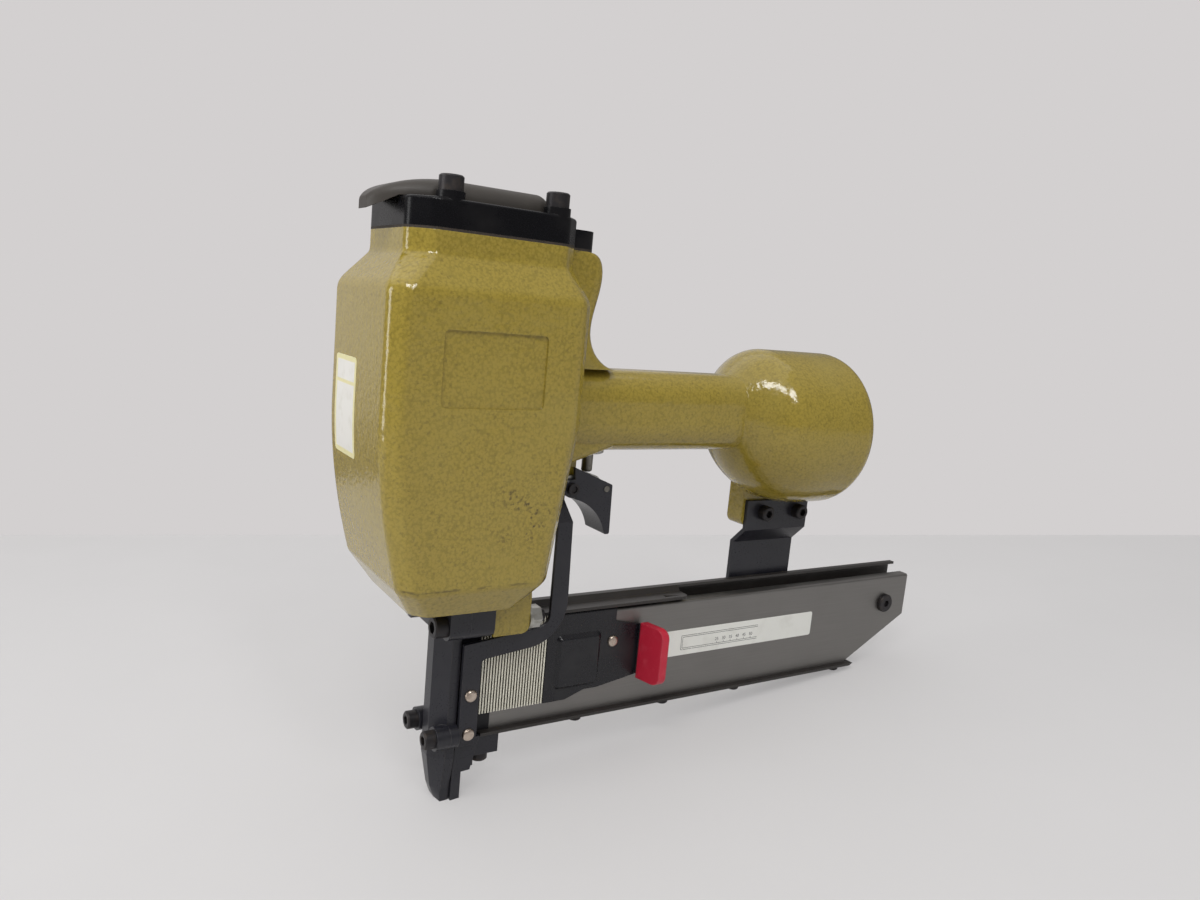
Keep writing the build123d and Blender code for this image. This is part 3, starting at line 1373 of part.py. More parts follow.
nose_flange_bolts = cap_screws(
    front_plane(EAR_FRONT), flange_spots, M6, flange_bolt_length, M6_HEAD, M6_HEIGHT, M6_SOCKET
)
nose_flange_bolts.part.label = "nose_flange_bolts"
export_step(nose_flange_bolts.part, "parts/nose_flange_bolts.step")

with BuildPart() as flange_washers:
    with BuildSketch(Plane.YZ.offset(LEG_REAR)):
        with Locations(*flange_spots):
            Circle(M6_WASHER)
            Circle(M6 + SEAT, mode=Mode.SUBTRACT)
    extrude(amount=WASHER_THICK)
flange_washers.part.label = "flange_washers"
export_step(flange_washers.part, "parts/flange_washers.step")

flange_nuts = hex_nuts(Plane.YZ.offset(LEG_REAR + WASHER_THICK), flange_spots, M6_NUT, M6_NUT_HEIGHT, M6)
flange_nuts.part.label = "flange_nuts"
export_step(flange_nuts.part, "parts/flange_nuts.step")

with BuildPart() as contact_arm:
    # Leg along the nose, band under the nuts and upright bar
    with BuildSketch(side_plane(arm_far)) as outline:
        with BuildLine():
            Polyline(
                (ARM_LEG_FRONT, leg_round_z),
                (ARM_LEG_FRONT, arm_leg_top),
                (ARM_BAR_FRONT, band_height(ARM_BAR_FRONT)),
                (ARM_BAR_FRONT, ARM_BAR_TOP),
                (ARM_BAR_REAR - ARM_BAR_LEAN, ARM_BAR_TOP),
                (ARM_BAR_REAR, band_height(ARM_BAR_REAR) - ARM_BAND_WIDTH),
                (ARM_LEG_REAR, band_height(ARM_LEG_REAR) - ARM_BAND_WIDTH),
                (ARM_LEG_REAR, leg_round_z),
                close=True,
            )
        make_face()
        fillet(outline.vertices().sort_by_distance((ARM_BAR_FRONT, arm_leg_top))[0], ARM_BEND_IN)
        fillet(outline.vertices().sort_by_distance((ARM_BAR_REAR, arm_leg_top))[0], ARM_BEND_OUT)
        knee = (ARM_LEG_REAR, arm_leg_top - ARM_BAND_WIDTH)
        fillet(outline.vertices().sort_by_distance(knee)[0], ARM_CORNER)
        with Locations((leg_mid, leg_round_z)):
            Circle(leg_mid - ARM_LEG_FRONT)
    extrude(amount=ARM_THICK)
    # Joggle that brings the upper end inside the trigger cheeks
    bar_end = bar_section(ARM_BAR_TOP, ARM_BAR_REAR - ARM_BAR_LEAN, ARM_NEAR)
    loft([bar_end, bar_section(ARM_JOGGLE_TOP, ARM_UPPER_REAR, ARM_UPPER_NEAR)], ruled=True)
    with BuildSketch(side_plane(ARM_UPPER_NEAR + ARM_THICK)):
        with BuildLine():
            Polyline(
                (ARM_BAR_FRONT, ARM_JOGGLE_TOP),
                (ARM_UPPER_REAR, ARM_JOGGLE_TOP),
                (ARM_UPPER_REAR, ARM_SHELF_Z),
                (ARM_SHELF_X, ARM_SHELF_Z),
                (ARM_SHELF_X, ARM_TOP),
                (ARM_BAR_FRONT, ARM_TOP),
                close=True,
            )
        make_face()
    extrude(amount=ARM_THICK)
    # Tab under the spring
    with BuildSketch(Plane.XY.offset(ARM_TAB_TOP)):
        with Locations((ARM_TAB_FRONT, ARM_UPPER_NEAR - ARM_THICK)):
            Rectangle(
                ARM_TAB_REAR - ARM_TAB_FRONT,
                ARM_TAB_FAR - ARM_UPPER_NEAR + ARM_THICK,
                align=(Align.MIN, Align.MIN),
            )
    extrude(amount=-ARM_THICK)
    with BuildSketch(side_plane(arm_far)):
        with Locations(*rivet_spots):
            Circle(RIVET + SEAT)
    extrude(amount=ARM_THICK, mode=Mode.SUBTRACT)
contact_arm.part.label = "contact_arm"
export_step(contact_arm.part, "parts/contact_arm.step")

with BuildPart() as contact_foot:
    with BuildSketch(side_plane(-FOOT_INNER)):
        with Locations((FOOT_FRONT, FOOT_STEP_Z)):
            Rectangle(ARM_LEG_REAR - FOOT_FRONT, FOOT_TOP - FOOT_STEP_Z, align=(Align.MIN, Align.MIN))
    extrude(amount=-arm_far - FOOT_INNER)
    with BuildSketch(side_plane(-FOOT_INNER)):
        with BuildLine():
            Polyline(
                (FOOT_FRONT, ARM_LEG_BOTTOM),
                (FOOT_STEP_X, ARM_LEG_BOTTOM),
                (ARM_LEG_REAR, FOOT_HEIGHT + CLEAR),
                (FOOT_HEEL, FOOT_HEIGHT),
                (FOOT_HEEL, 0),
                (foot_front, 0),
                (foot_front, FOOT_HEIGHT),
                close=True,
            )
        make_face()
    extrude(amount=-FOOT_NEAR - FOOT_INNER)
    # Toe across the back of the tip
    with BuildSketch(Plane.XY):
        with Locations((foot_front, FOOT_NEAR)):
            Rectangle(FOOT_HEEL - foot_front, FOOT_FAR - FOOT_NEAR, align=(Align.MIN, Align.MIN))
    extrude(amount=FOOT_HEIGHT)
    with BuildSketch(side_plane(-FOOT_INNER)):
        with Locations(*rivet_spots):
            Circle(RIVET + SEAT)
    extrude(amount=-arm_far - FOOT_INNER, mode=Mode.SUBTRACT)
contact_foot.part.label = "contact_foot"
export_step(contact_foot.part, "parts/contact_foot.step")

arm_rivets = round_rivets(side_plane(ARM_NEAR), rivet_spots, -ARM_NEAR - FOOT_INNER)
arm_rivets.part.label = "arm_rivets"
export_step(arm_rivets.part, "parts/arm_rivets.step")

arm_spring = coil_spring(SPRING_X, 0, ARM_TAB_TOP, ARM_SPRING_TOP, ARM_SPRING, ARM_WIRE, ARM_TURNS)
arm_spring.part.label = "arm_spring"
export_step(arm_spring.part, "parts/arm_spring.step")

with BuildPart() as magazine_frame:
    # Floor, far wall and roof bent from one sheet
    with BuildSketch(Plane.YZ.offset(FRAME_FRONT)) as channel:
        with BuildLine():
            Polyline(
                (FRAME_NEAR, flange_bottom),
                (FRAME_FAR, flange_bottom),
                (FRAME_FAR, roof_top),
                (ROOF_NEAR, roof_top),
                (ROOF_NEAR, roof_top - SHEET),
                (web_near, roof_top - SHEET),
                (web_near, CORE_BOTTOM),
                (FRAME_NEAR, CORE_BOTTOM),
                close=True,
            )
        make_face()
        fillet(channel.vertices().group_by(Axis.X)[-1], BEND)
        fillet(channel.vertices().filter_by_position(Axis.X, web_near - SEAT, web_near + SEAT), BEND - SHEET)
    extrude(amount=ROOF_REAR - FRAME_FRONT)
    # Cut back around the nose nuts and along the sloping rear end
    with BuildSketch(side_plane(FRAME_FAR)):
        with Locations((FRAME_FRONT, WEB_FRONT_TOP)):
            Rectangle(ROOF_FRONT - FRAME_FRONT, roof_top - WEB_FRONT_TOP, align=(Align.MIN, Align.MIN))
        with BuildLine():
            Polyline(
                (FLANGE_REAR, flange_bottom),
                (WEB_REAR, WEB_REAR_LOW),
                (WEB_REAR, WEB_FRONT_TOP),
                (ROOF_REAR, WEB_FRONT_TOP),
                (ROOF_REAR, flange_bottom),
                close=True,
            )
        make_face()
    extrude(amount=FRAME_FAR - FRAME_NEAR, mode=Mode.SUBTRACT)
    # Ledge stepped down over the front of the track
    with BuildSketch(Plane.YZ.offset(LEDGE_FRONT)):
        with BuildLine():
            Polyline(
                (LEDGE_NEAR, ledge_top),
                (LEDGE_FAR, ledge_top),
                (ROOF_NEAR, roof_top),
                (ROOF_NEAR + SHEET, roof_top),
                (ROOF_NEAR + SHEET, roof_top - SHEET),
                (LEDGE_FAR + SHEET / 2, ledge_top - SHEET),
                (LEDGE_NEAR, ledge_top - SHEET),
                close=True,
            )
        make_face()
    extrude(amount=LEDGE_REAR - LEDGE_FRONT)
    ledge_edges = magazine_frame.edges().filter_by(Axis.Z)
    fillet(ledge_edges.sort_by_distance((LEDGE_REAR, LEDGE_NEAR, ledge_top))[0], LEDGE_ROUND)
    with BuildSketch(Plane.XY.offset(ledge_top)):
        with BuildLine():
            Polyline(
                (SLIT_X, LEDGE_NEAR + SLIT_WIDTH),
                (SLIT_X + SLIT_LENGTH, LEDGE_NEAR + SLIT_WIDTH),
                (SLIT_X, LEDGE_NEAR + 2 * SLIT_WIDTH),
                close=True,
            )
        make_face()
    extrude(amount=-SHEET, mode=Mode.SUBTRACT)
    # Holes for the rail screws, the rear screw and the bracket rivets
    with BuildSketch(Plane.XY.offset(flange_bottom)):
        with Locations(*[(x, 0) for x in spacers_x]):
            Circle(M4 + BOLT_PLAY)
    extrude(amount=SHEET, mode=Mode.SUBTRACT)
    with BuildSketch(side_plane(FRAME_FAR)):
        with Locations((REAR_SCREW_X, REAR_SCREW_Z)):
            Circle(M4 + BOLT_PLAY)
        with Locations(*bracket_rivet_spots):
            Circle(RIVET + SEAT)
    extrude(amount=SHEET, mode=Mode.SUBTRACT)
magazine_frame.part.label = "magazine_frame"
export_step(magazine_frame.part, "parts/magazine_frame.step")

with BuildPart() as magazine_core:
    with BuildSketch(Plane.YZ.offset(strip_front)) as rail:
        with Locations((0, CORE_BOTTOM)):
            Rectangle(2 * core_half, CORE_HEIGHT, align=(Align.CENTER, Align.MIN))
        fillet(rail.vertices().group_by(Axis.Y)[-1], CORE_BEND)
        with Locations((0, CORE_BOTTOM)):
            Rectangle(
                2 * (core_half - CORE_WALL),
                CORE_HEIGHT - CORE_WALL,
                align=(Align.CENTER, Align.MIN),
                mode=Mode.SUBTRACT,
            )
    extrude(amount=CORE_REAR - strip_front)
    with BuildSketch(side_plane(core_half)):
        with BuildLine():
            Polyline((CORE_CUT_X, CORE_BOTTOM), (CORE_REAR, CORE_CUT_Z), (CORE_REAR, CORE_BOTTOM), close=True)
        make_face()
        with Locations((REAR_SCREW_X, REAR_SCREW_Z)):
            Circle(M4 + BOLT_PLAY)
    extrude(amount=2 * core_half, mode=Mode.SUBTRACT)
magazine_core.part.label = "magazine_core"
export_step(magazine_core.part, "parts/magazine_core.step")

with BuildPart() as core_spacers:
    with BuildSketch(Plane.XY.offset(CORE_BOTTOM)):
        with Locations(*[(x, 0) for x in spacers_x]):
            Rectangle(SPACER_LENGTH, 2 * (core_half - CORE_WALL - SEAT))
            Circle(M4 + SEAT, mode=Mode.SUBTRACT)
    extrude(amount=SPACER_HEIGHT)
core_spacers.part.label = "core_spacers"
export_step(core_spacers.part, "parts/core_spacers.step")

core_bolts = cap_screws(
    under_plane(flange_bottom),
    [(x, 0) for x in core_bolts_x],
    M4,
    SHEET + SPACER_HEIGHT - HEAD_EDGE,
    M4_HEAD,
    M4_HEIGHT,
    M4_SOCKET,
)
core_bolts.part.label = "core_bolts"
export_step(core_bolts.part, "parts/core_bolts.step")

core_front_screw = cap_screws(
    under_plane(tail_bottom),
    [(FRONT_SCREW_X, 0)],
    M4,
    TAIL_HEIGHT + SHEET + SPACER_HEIGHT - HEAD_EDGE,
    FRONT_SCREW_HEAD,
    M5_HEIGHT,
    M5_SOCKET,
)
core_front_screw.part.label = "core_front_screw"
export_step(core_front_screw.part, "parts/core_front_screw.step")

core_rear_screw = cap_screws(
    side_plane(-core_half),
    [(REAR_SCREW_X, REAR_SCREW_Z)],
    M4,
    core_half + FRAME_FAR + M5_NUT_HEIGHT,
    REAR_SCREW_HEAD,
    REAR_SCREW_RISE,
    M5_SOCKET,
)
core_rear_screw.part.label = "core_rear_screw"
export_step(core_rear_screw.part, "parts/core_rear_screw.step")

with BuildPart() as core_rear_sleeve:
    with BuildSketch(side_plane(web_near)):
        with Locations((REAR_SCREW_X, REAR_SCREW_Z)):
            Circle(SLEEVE_RADIUS)
            Circle(M4 + SEAT, mode=Mode.SUBTRACT)
    extrude(amount=web_near - core_half)
core_rear_sleeve.part.label = "core_rear_sleeve"
export_step(core_rear_sleeve.part, "parts/core_rear_sleeve.step")

core_rear_nut = hex_nuts(far_plane(FRAME_FAR), [(-REAR_SCREW_X, REAR_SCREW_Z)], M5_NUT, M5_NUT_HEIGHT, M4)
core_rear_nut.part.label = "core_rear_nut"
export_step(core_rear_nut.part, "parts/core_rear_nut.step")

with BuildPart() as staple_strip:
    with BuildSketch(Plane.YZ.offset(strip_front)):
        with Locations((0, staple_bottom)):
            Rectangle(CROWN, STAPLE_HEIGHT, align=(Align.CENTER, Align.MIN))
            Rectangle(
                CROWN - 2 * WIRE, STAPLE_HEIGHT - WIRE, align=(Align.CENTER, Align.MIN), mode=Mode.SUBTRACT
            )
    extrude(amount=strip_rear - strip_front)
    # Glued joint between each staple and the next
    with BuildSketch(*[Plane.YZ.offset(x - GLUE_GROOVE / 2) for x in glue_lines]):
        with Locations((0, staple_bottom)):
            Rectangle(CROWN, STAPLE_HEIGHT, align=(Align.CENTER, Align.MIN))
            Rectangle(
                CROWN - 2 * GLUE_DEPTH,
                STAPLE_HEIGHT - GLUE_DEPTH,
                align=(Align.CENTER, Align.MIN),
                mode=Mode.SUBTRACT,
            )
    extrude(amount=GLUE_GROOVE, mode=Mode.SUBTRACT)
staple_strip.part.label = "staple_strip"
export_step(staple_strip.part, "parts/staple_strip.step")

pusher_tab = tab_plate(pusher_inner, 0)
with BuildPart() as pusher:
    # Near cheek
    with BuildSketch(side_plane(-pusher_inner)):
        with BuildLine():
            Polyline(
                (pusher_front, PUSHER_LOW),
                (pusher_front, core_top),
                (pusher_rear, core_top),
                (pusher_rear, PUSHER_STEP_Z + PUSHER_BEND),
                (PUSHER_STEP_X, PUSHER_STEP_Z),
                (PUSHER_TAB_X, PUSHER_TAB_TOP),
                (PUSHER_TAB_X, PUSHER_TAB_BOTTOM),
                (PUSHER_HEEL_X, PUSHER_WAIST_Z),
                (PUSHER_WAIST_X, PUSHER_WAIST_Z),
                (PUSHER_TOE_X, PUSHER_LOW),
                close=True,
            )
        make_face()
    extrude(amount=PUSHER_SHEET)
    # Bridge over the rail and far cheek
    with BuildSketch(Plane.YZ.offset(pusher_front)) as bridge:
        with Locations((0, PUSHER_LOW)):
            Rectangle(2 * pusher_outer, pusher_top - PUSHER_LOW, align=(Align.CENTER, Align.MIN))
        fillet(bridge.vertices().group_by(Axis.Y)[-1], PUSHER_BEND)
        with Locations((0, PUSHER_LOW)):
            Rectangle(
                2 * pusher_inner,
                core_top + CORE_SLIP - PUSHER_LOW,
                align=(Align.CENTER, Align.MIN),
                mode=Mode.SUBTRACT,
            )
        with Locations((-pusher_outer, PUSHER_LOW)):
            Rectangle(
                PUSHER_SHEET,
                core_top - PUSHER_BEND - PUSHER_LOW,
                align=(Align.MIN, Align.MIN),
                mode=Mode.SUBTRACT,
            )
    extrude(amount=PUSHER_FRONT_LENGTH)
    add(pusher_tab.part)
    with BuildSketch(side_plane(-pusher_outer)):
        with Locations((EMBOSS_X, EMBOSS_Z)):
            RectangleRounded(EMBOSS_LENGTH, EMBOSS_HEIGHT, EMBOSS_CORNER)
    extrude(amount=EMBOSS_RISE, taper=EMBOSS_DRAFT)
    crest = (EMBOSS_X, -pusher_outer - EMBOSS_RISE, EMBOSS_Z)
    fillet(pusher.faces().filter_by(Axis.Y).sort_by_distance(crest)[0].edges(), EMBOSS_ROUND)
    # Stud under the coil spring and the rivet hole
    with BuildSketch(side_plane(pusher_outer)):
        with Locations((COIL_X, COIL_Z)):
            Circle(COIL_HUB)
    extrude(amount=-COIL_WIDTH - CLEAR)
    with BuildSketch(side_plane(-pusher_inner)):
        with Locations((PUSHER_RIVET_X, PUSHER_RIVET_Z)):
            Circle(RIVET + SEAT)
    extrude(amount=PUSHER_SHEET, mode=Mode.SUBTRACT)
pusher.part.label = "pusher"
export_step(pusher.part, "parts/pusher.step")

grip_block = tab_plate(GRIP_START, GRIP_WALL)
grip_pocket = tab_plate(GRIP_START, SEAT)
with BuildPart() as pusher_grip:
    add(grip_block.part)
    add(grip_pocket.part, mode=Mode.SUBTRACT)
pusher_grip.part.label = "pusher_grip"
export_step(pusher_grip.part, "parts/pusher_grip.step")

pusher_rivet = round_rivets(side_plane(-pusher_outer), [(PUSHER_RIVET_X, PUSHER_RIVET_Z)], PUSHER_SHEET)
pusher_rivet.part.label = "pusher_rivet"
export_step(pusher_rivet.part, "parts/pusher_rivet.step")

with BuildPart() as pusher_spring:
    with BuildSketch(side_plane(pusher_outer + CLEAR)):
        with Locations((COIL_X, COIL_Z)):
            Circle(COIL)
            Circle(COIL_HUB + SEAT, mode=Mode.SUBTRACT)
    extrude(amount=-COIL_WIDTH)
pusher_spring.part.label = "pusher_spring"
export_step(pusher_spring.part, "parts/pusher_spring.step")

with BuildPart() as rear_bracket:
    with BuildSketch(Plane.YZ.offset(BRACKET_FRONT)) as fold:
        with BuildLine():
            Polyline(
                (BRACKET_NEAR, bracket_top),
                (bracket_far, bracket_top),
                (bracket_far, bracket_knee_top + bend_shift),
                (bracket_outer, bracket_knee_low + bend_shift),
                (bracket_outer, BRACKET_LOW),
                (FRAME_FAR, BRACKET_LOW),
                (FRAME_FAR, bracket_knee_low),
                (BRACKET_NEAR, bracket_knee_top),
                close=True,
            )
        make_face()
    extrude(amount=BRACKET_WIDTH)
    fillet(rear_bracket.edges().filter_by(Axis.Y).group_by(Axis.Z)[0], BRACKET_LUG_RADIUS)
    with BuildSketch(side_plane(bracket_far)):
        with Locations(*bracket_spots):
            Circle(M5 + BOLT_PLAY)
    extrude(amount=BRACKET_THICK, mode=Mode.SUBTRACT)
    with BuildSketch(side_plane(bracket_outer)):
        with Locations(*bracket_rivet_spots):
            Circle(RIVET + SEAT)
    extrude(amount=BRACKET_THICK, mode=Mode.SUBTRACT)
rear_bracket.part.label = "rear_bracket"
export_step(rear_bracket.part, "parts/rear_bracket.step")

bracket_rivets = round_rivets(
    far_plane(bracket_outer), [(-x, z) for x, z in bracket_rivet_spots], bracket_outer - web_near
)
bracket_rivets.part.label = "bracket_rivets"
export_step(bracket_rivets.part, "parts/bracket_rivets.step")

bracket_bolts = cap_screws(
    side_plane(BRACKET_NEAR),
    bracket_spots,
    M5,
    lug_far + M5_NUT_HEIGHT - BRACKET_NEAR,
    M5_HEAD,
    M5_HEIGHT,
    M5_SOCKET,
)
bracket_bolts.part.label = "bracket_bolts"
export_step(bracket_bolts.part, "parts/bracket_bolts.step")

bracket_nuts = hex_nuts(far_plane(lug_far), [(-x, z) for x, z in bracket_spots], M5_NUT, M5_NUT_HEIGHT, M5)
bracket_nuts.part.label = "bracket_nuts"
export_step(bracket_nuts.part, "parts/bracket_nuts.step")

with BuildPart() as end_cap:
    with BuildSketch(Plane.YZ.offset(end_seat)):
        with Locations((0, BULB_Z)):
            Circle(end_cap_seat - SEAT)
    extrude(amount=END_CAP_THICK)
    with BuildSketch(Plane.YZ.offset(ring_front)):
        with Locations((0, BULB_Z)):
            Circle(END_CAP_HUB)
    extrude(amount=END_CAP_HUB_LENGTH)
    chamfer(end_cap.faces().sort_by(Axis.X)[-1].edges(), HEAD_EDGE)
    with BuildSketch(Plane.YZ.offset(end_seat)):
        with Locations((0, BULB_Z)):
            Circle(INLET)
    extrude(amount=END_CAP_THICK + END_CAP_HUB_LENGTH, mode=Mode.SUBTRACT)
    with BuildSketch(Plane.XZ):
        with Locations((end_seal_x, BULB_Z + end_cap_seat - SEAT - END_SEAL_WIRE)):
            Rectangle(2 * END_SEAL_WIRE + 2 * SEAT, 2 * END_SEAL_WIRE + 2 * SEAT)
    revolve(axis=bulb_axis, mode=Mode.SUBTRACT)
end_cap.part.label = "end_cap"
export_step(end_cap.part, "parts/end_cap.step")

with BuildPart() as end_cap_seal:
    with BuildSketch(Plane.XZ):
        with Locations((end_seal_x, BULB_Z + end_cap_seat - SEAT - END_SEAL_WIRE)):
            RegularPolygon(END_SEAL_WIRE, RING_SIDES)
    revolve(axis=bulb_axis)
end_cap_seal.part.label = "end_cap_seal"
export_step(end_cap_seal.part, "parts/end_cap_seal.step")

with BuildPart() as retaining_ring:
    with BuildSketch(Plane.YZ.offset(ring_front)):
        with Locations((0, BULB_Z)):
            Circle(end_cap_seat + RING_BITE - SEAT)
            Circle(end_cap_seat + RING_BITE - RING_WIDTH, mode=Mode.SUBTRACT)
        with Locations((0, BULB_Z - end_cap_seat)):
            Rectangle(RING_GAP, 2 * RING_WIDTH, mode=Mode.SUBTRACT)
    extrude(amount=RING_THICK)
retaining_ring.part.label = "retaining_ring"
export_step(retaining_ring.part, "parts/retaining_ring.step")
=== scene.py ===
"""Looks of an air driven stapler: finishes, staple wires, labels and studio."""

import logging
import math
from dataclasses import dataclass, field
from enum import Enum
from typing import Any, Callable, Iterator, Union

import bpy
from mathutils import Matrix, Vector


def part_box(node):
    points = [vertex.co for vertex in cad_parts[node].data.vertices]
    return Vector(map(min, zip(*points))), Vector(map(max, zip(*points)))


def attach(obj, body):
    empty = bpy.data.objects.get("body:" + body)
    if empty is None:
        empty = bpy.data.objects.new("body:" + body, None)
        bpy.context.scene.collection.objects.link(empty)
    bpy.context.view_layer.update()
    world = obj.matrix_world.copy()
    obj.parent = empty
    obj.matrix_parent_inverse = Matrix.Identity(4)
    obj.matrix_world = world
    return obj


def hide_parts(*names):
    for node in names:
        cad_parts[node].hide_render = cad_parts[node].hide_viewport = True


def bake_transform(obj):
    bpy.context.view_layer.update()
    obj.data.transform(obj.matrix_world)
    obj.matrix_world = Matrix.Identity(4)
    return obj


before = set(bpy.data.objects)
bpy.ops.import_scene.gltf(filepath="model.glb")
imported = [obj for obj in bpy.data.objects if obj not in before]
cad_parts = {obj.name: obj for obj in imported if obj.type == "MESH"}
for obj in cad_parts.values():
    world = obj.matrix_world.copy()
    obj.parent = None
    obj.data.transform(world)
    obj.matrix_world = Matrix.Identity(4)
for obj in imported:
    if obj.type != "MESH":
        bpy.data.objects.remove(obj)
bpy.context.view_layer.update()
LOG = logging.getLogger("stapler")
MM = 0.001
BYTE = 255
SRGB_TOE = 0.04045
SRGB_SLOPE = 12.92
SRGB_SHIFT = 0.055
SRGB_POWER = 2.4
SMOOTH_ANGLE = math.radians(32)
MERGE_GAP = 0.001  # millimetres between doubles
ALONG = 0.9  # share of a direction that counts as along an axis
NEAR = 0.01  # millimetres within which two places agree
ROUND_STEPS = 5
Colour = tuple[float, float, float]
Band = tuple[float, float]
Point = tuple[float, float, float]
Test = Callable[[Vector, Vector], bool]
Operand = Union["Signal", float]


def tone(red: int, green: int, blue: int) -> Colour:
    """Linear colour of an 8-bit screen colour.

    Args:
        red: Red from 0 to 255.
        green: Green from 0 to 255.
        blue: Blue from 0 to 255.

    Returns:
        The colour in linear light.
    """
    parts = [value / BYTE for value in (red, green, blue)]
    return tuple(part / SRGB_SLOPE if part < SRGB_TOE
                 else ((part + SRGB_SHIFT) / (1 + SRGB_SHIFT)) ** SRGB_POWER for part in parts)


@dataclass(frozen=True)
class Cloud:
    """Patches of noise: size in millimetres, finer layers, and where they start and are full."""

    size: float
    detail: float
    low: float
    high: float


@dataclass(frozen=True)
class Signal:
    """A shader socket that Python operators can reckon with."""

    shop: "NodeShop"
    socket: bpy.types.NodeSocket

    def __add__(self, other: Operand) -> "Signal":
        """Sum of two values."""
        return self.shop.math("ADD", self, other)

    def __radd__(self, other: float) -> "Signal":
        """Sum with a number in front."""
        return self.shop.math("ADD", other, self)

    def __sub__(self, other: Operand) -> "Signal":
        """Difference of two values."""
        return self.shop.math("SUBTRACT", self, other)

    def __rsub__(self, other: float) -> "Signal":
        """Difference from a number."""
        return self.shop.math("SUBTRACT", other, self)

    def __mul__(self, other: Operand) -> "Signal":
        """Product of two values."""
        return self.shop.math("MULTIPLY", self, other)

    def __rmul__(self, other: float) -> "Signal":
        """Product with a number in front."""
        return self.shop.math("MULTIPLY", other, self)

    def __mod__(self, other: Operand) -> "Signal":
        """Remainder that stays positive."""
        return self.shop.math("FLOORED_MODULO", self, other)

    def __abs__(self) -> "Signal":
        """Size without its sign."""
        return self.shop.math("ABSOLUTE", self)

    def __lt__(self, other: Operand) -> "Signal":
        """1 where the value is less, else 0."""
        return self.shop.math("LESS_THAN", self, other)

    def __gt__(self, other: Operand) -> "Signal":
        """1 where the value is more, else 0."""
        return self.shop.math("GREATER_THAN", self, other)


class NodeShop:
    """Makes and links the nodes of one tree."""

    def __init__(self, tree: bpy.types.NodeTree) -> None:
        """Empty a tree and take it over.

        Args:
            tree: The node tree to fill.
        """
        self.tree = tree
        self.tree.nodes.clear()

    def node(self, kind: str, settings: dict[str, Any] | None = None,
             sockets: dict[str | int, Any] | None = None) -> bpy.types.Node:
        """Add a node.

        Args:
            kind: The node's type.
            settings: Properties, which are set first.
            sockets: Values or signals for its inputs, by name or place.

        Returns:
            The new node.
        """
        made = self.tree.nodes.new(kind)
        for key, value in (settings or {}).items():
            setattr(made, key, value)
        for key, value in (sockets or {}).items():
            if isinstance(value, Signal):
                self.tree.links.new(value.socket, made.inputs[key])
            else:
                made.inputs[key].default_value = value
        return made

    def out(self, node: bpy.types.Node, key: str | int = 0) -> Signal:
        """One output of a node as a signal."""
        return Signal(self, node.outputs[key])

    def math(self, operation: str, *values: Operand) -> Signal:
        """One Math node on signals or numbers."""
        made = self.node("ShaderNodeMath", {"operation": operation}, dict(enumerate(values)))
        return self.out(made)

    def tint(self, factor: Operand, first: Signal | Colour, second: Signal | Colour) -> Signal:
        """Mix two colours.

        Args:
            factor: Share of the second colour.
            first: Colour at 0.
            second: Colour at 1.

        Returns:
            The mixed colour.
        """
        pair = [c if isinstance(c, Signal) else (*c, 1.0) for c in (first, second)]
        mixed = self.node("ShaderNodeMix", {"data_type": "RGBA"},
                          {0: factor, 6: pair[0], 7: pair[1]})
        return self.out(mixed, 2)

    def step(self, value: Signal, low: float, high: float) -> Signal:
        """Smooth rise from 0 at low to 1 at high.

        Args:
            value: The signal to shape.
            low: Where the rise starts.
            high: Where it ends.

        Returns:
            A signal from 0 to 1.
        """
        return self.out(self.node("ShaderNodeMapRange", {"interpolation_type": "SMOOTHSTEP"},
                                  {"Value": value, "From Min": low, "From Max": high}))

    def seen(self) -> Signal:
        """1 where the camera, a gloss or a clear piece looks, and 0 for light alone."""
        path = self.node("ShaderNodeLightPath")
        first, second = self.out(path, "Is Camera Ray"), self.out(path, "Is Glossy Ray")
        return first + second + self.out(path, "Is Transmission Ray") > 0.5


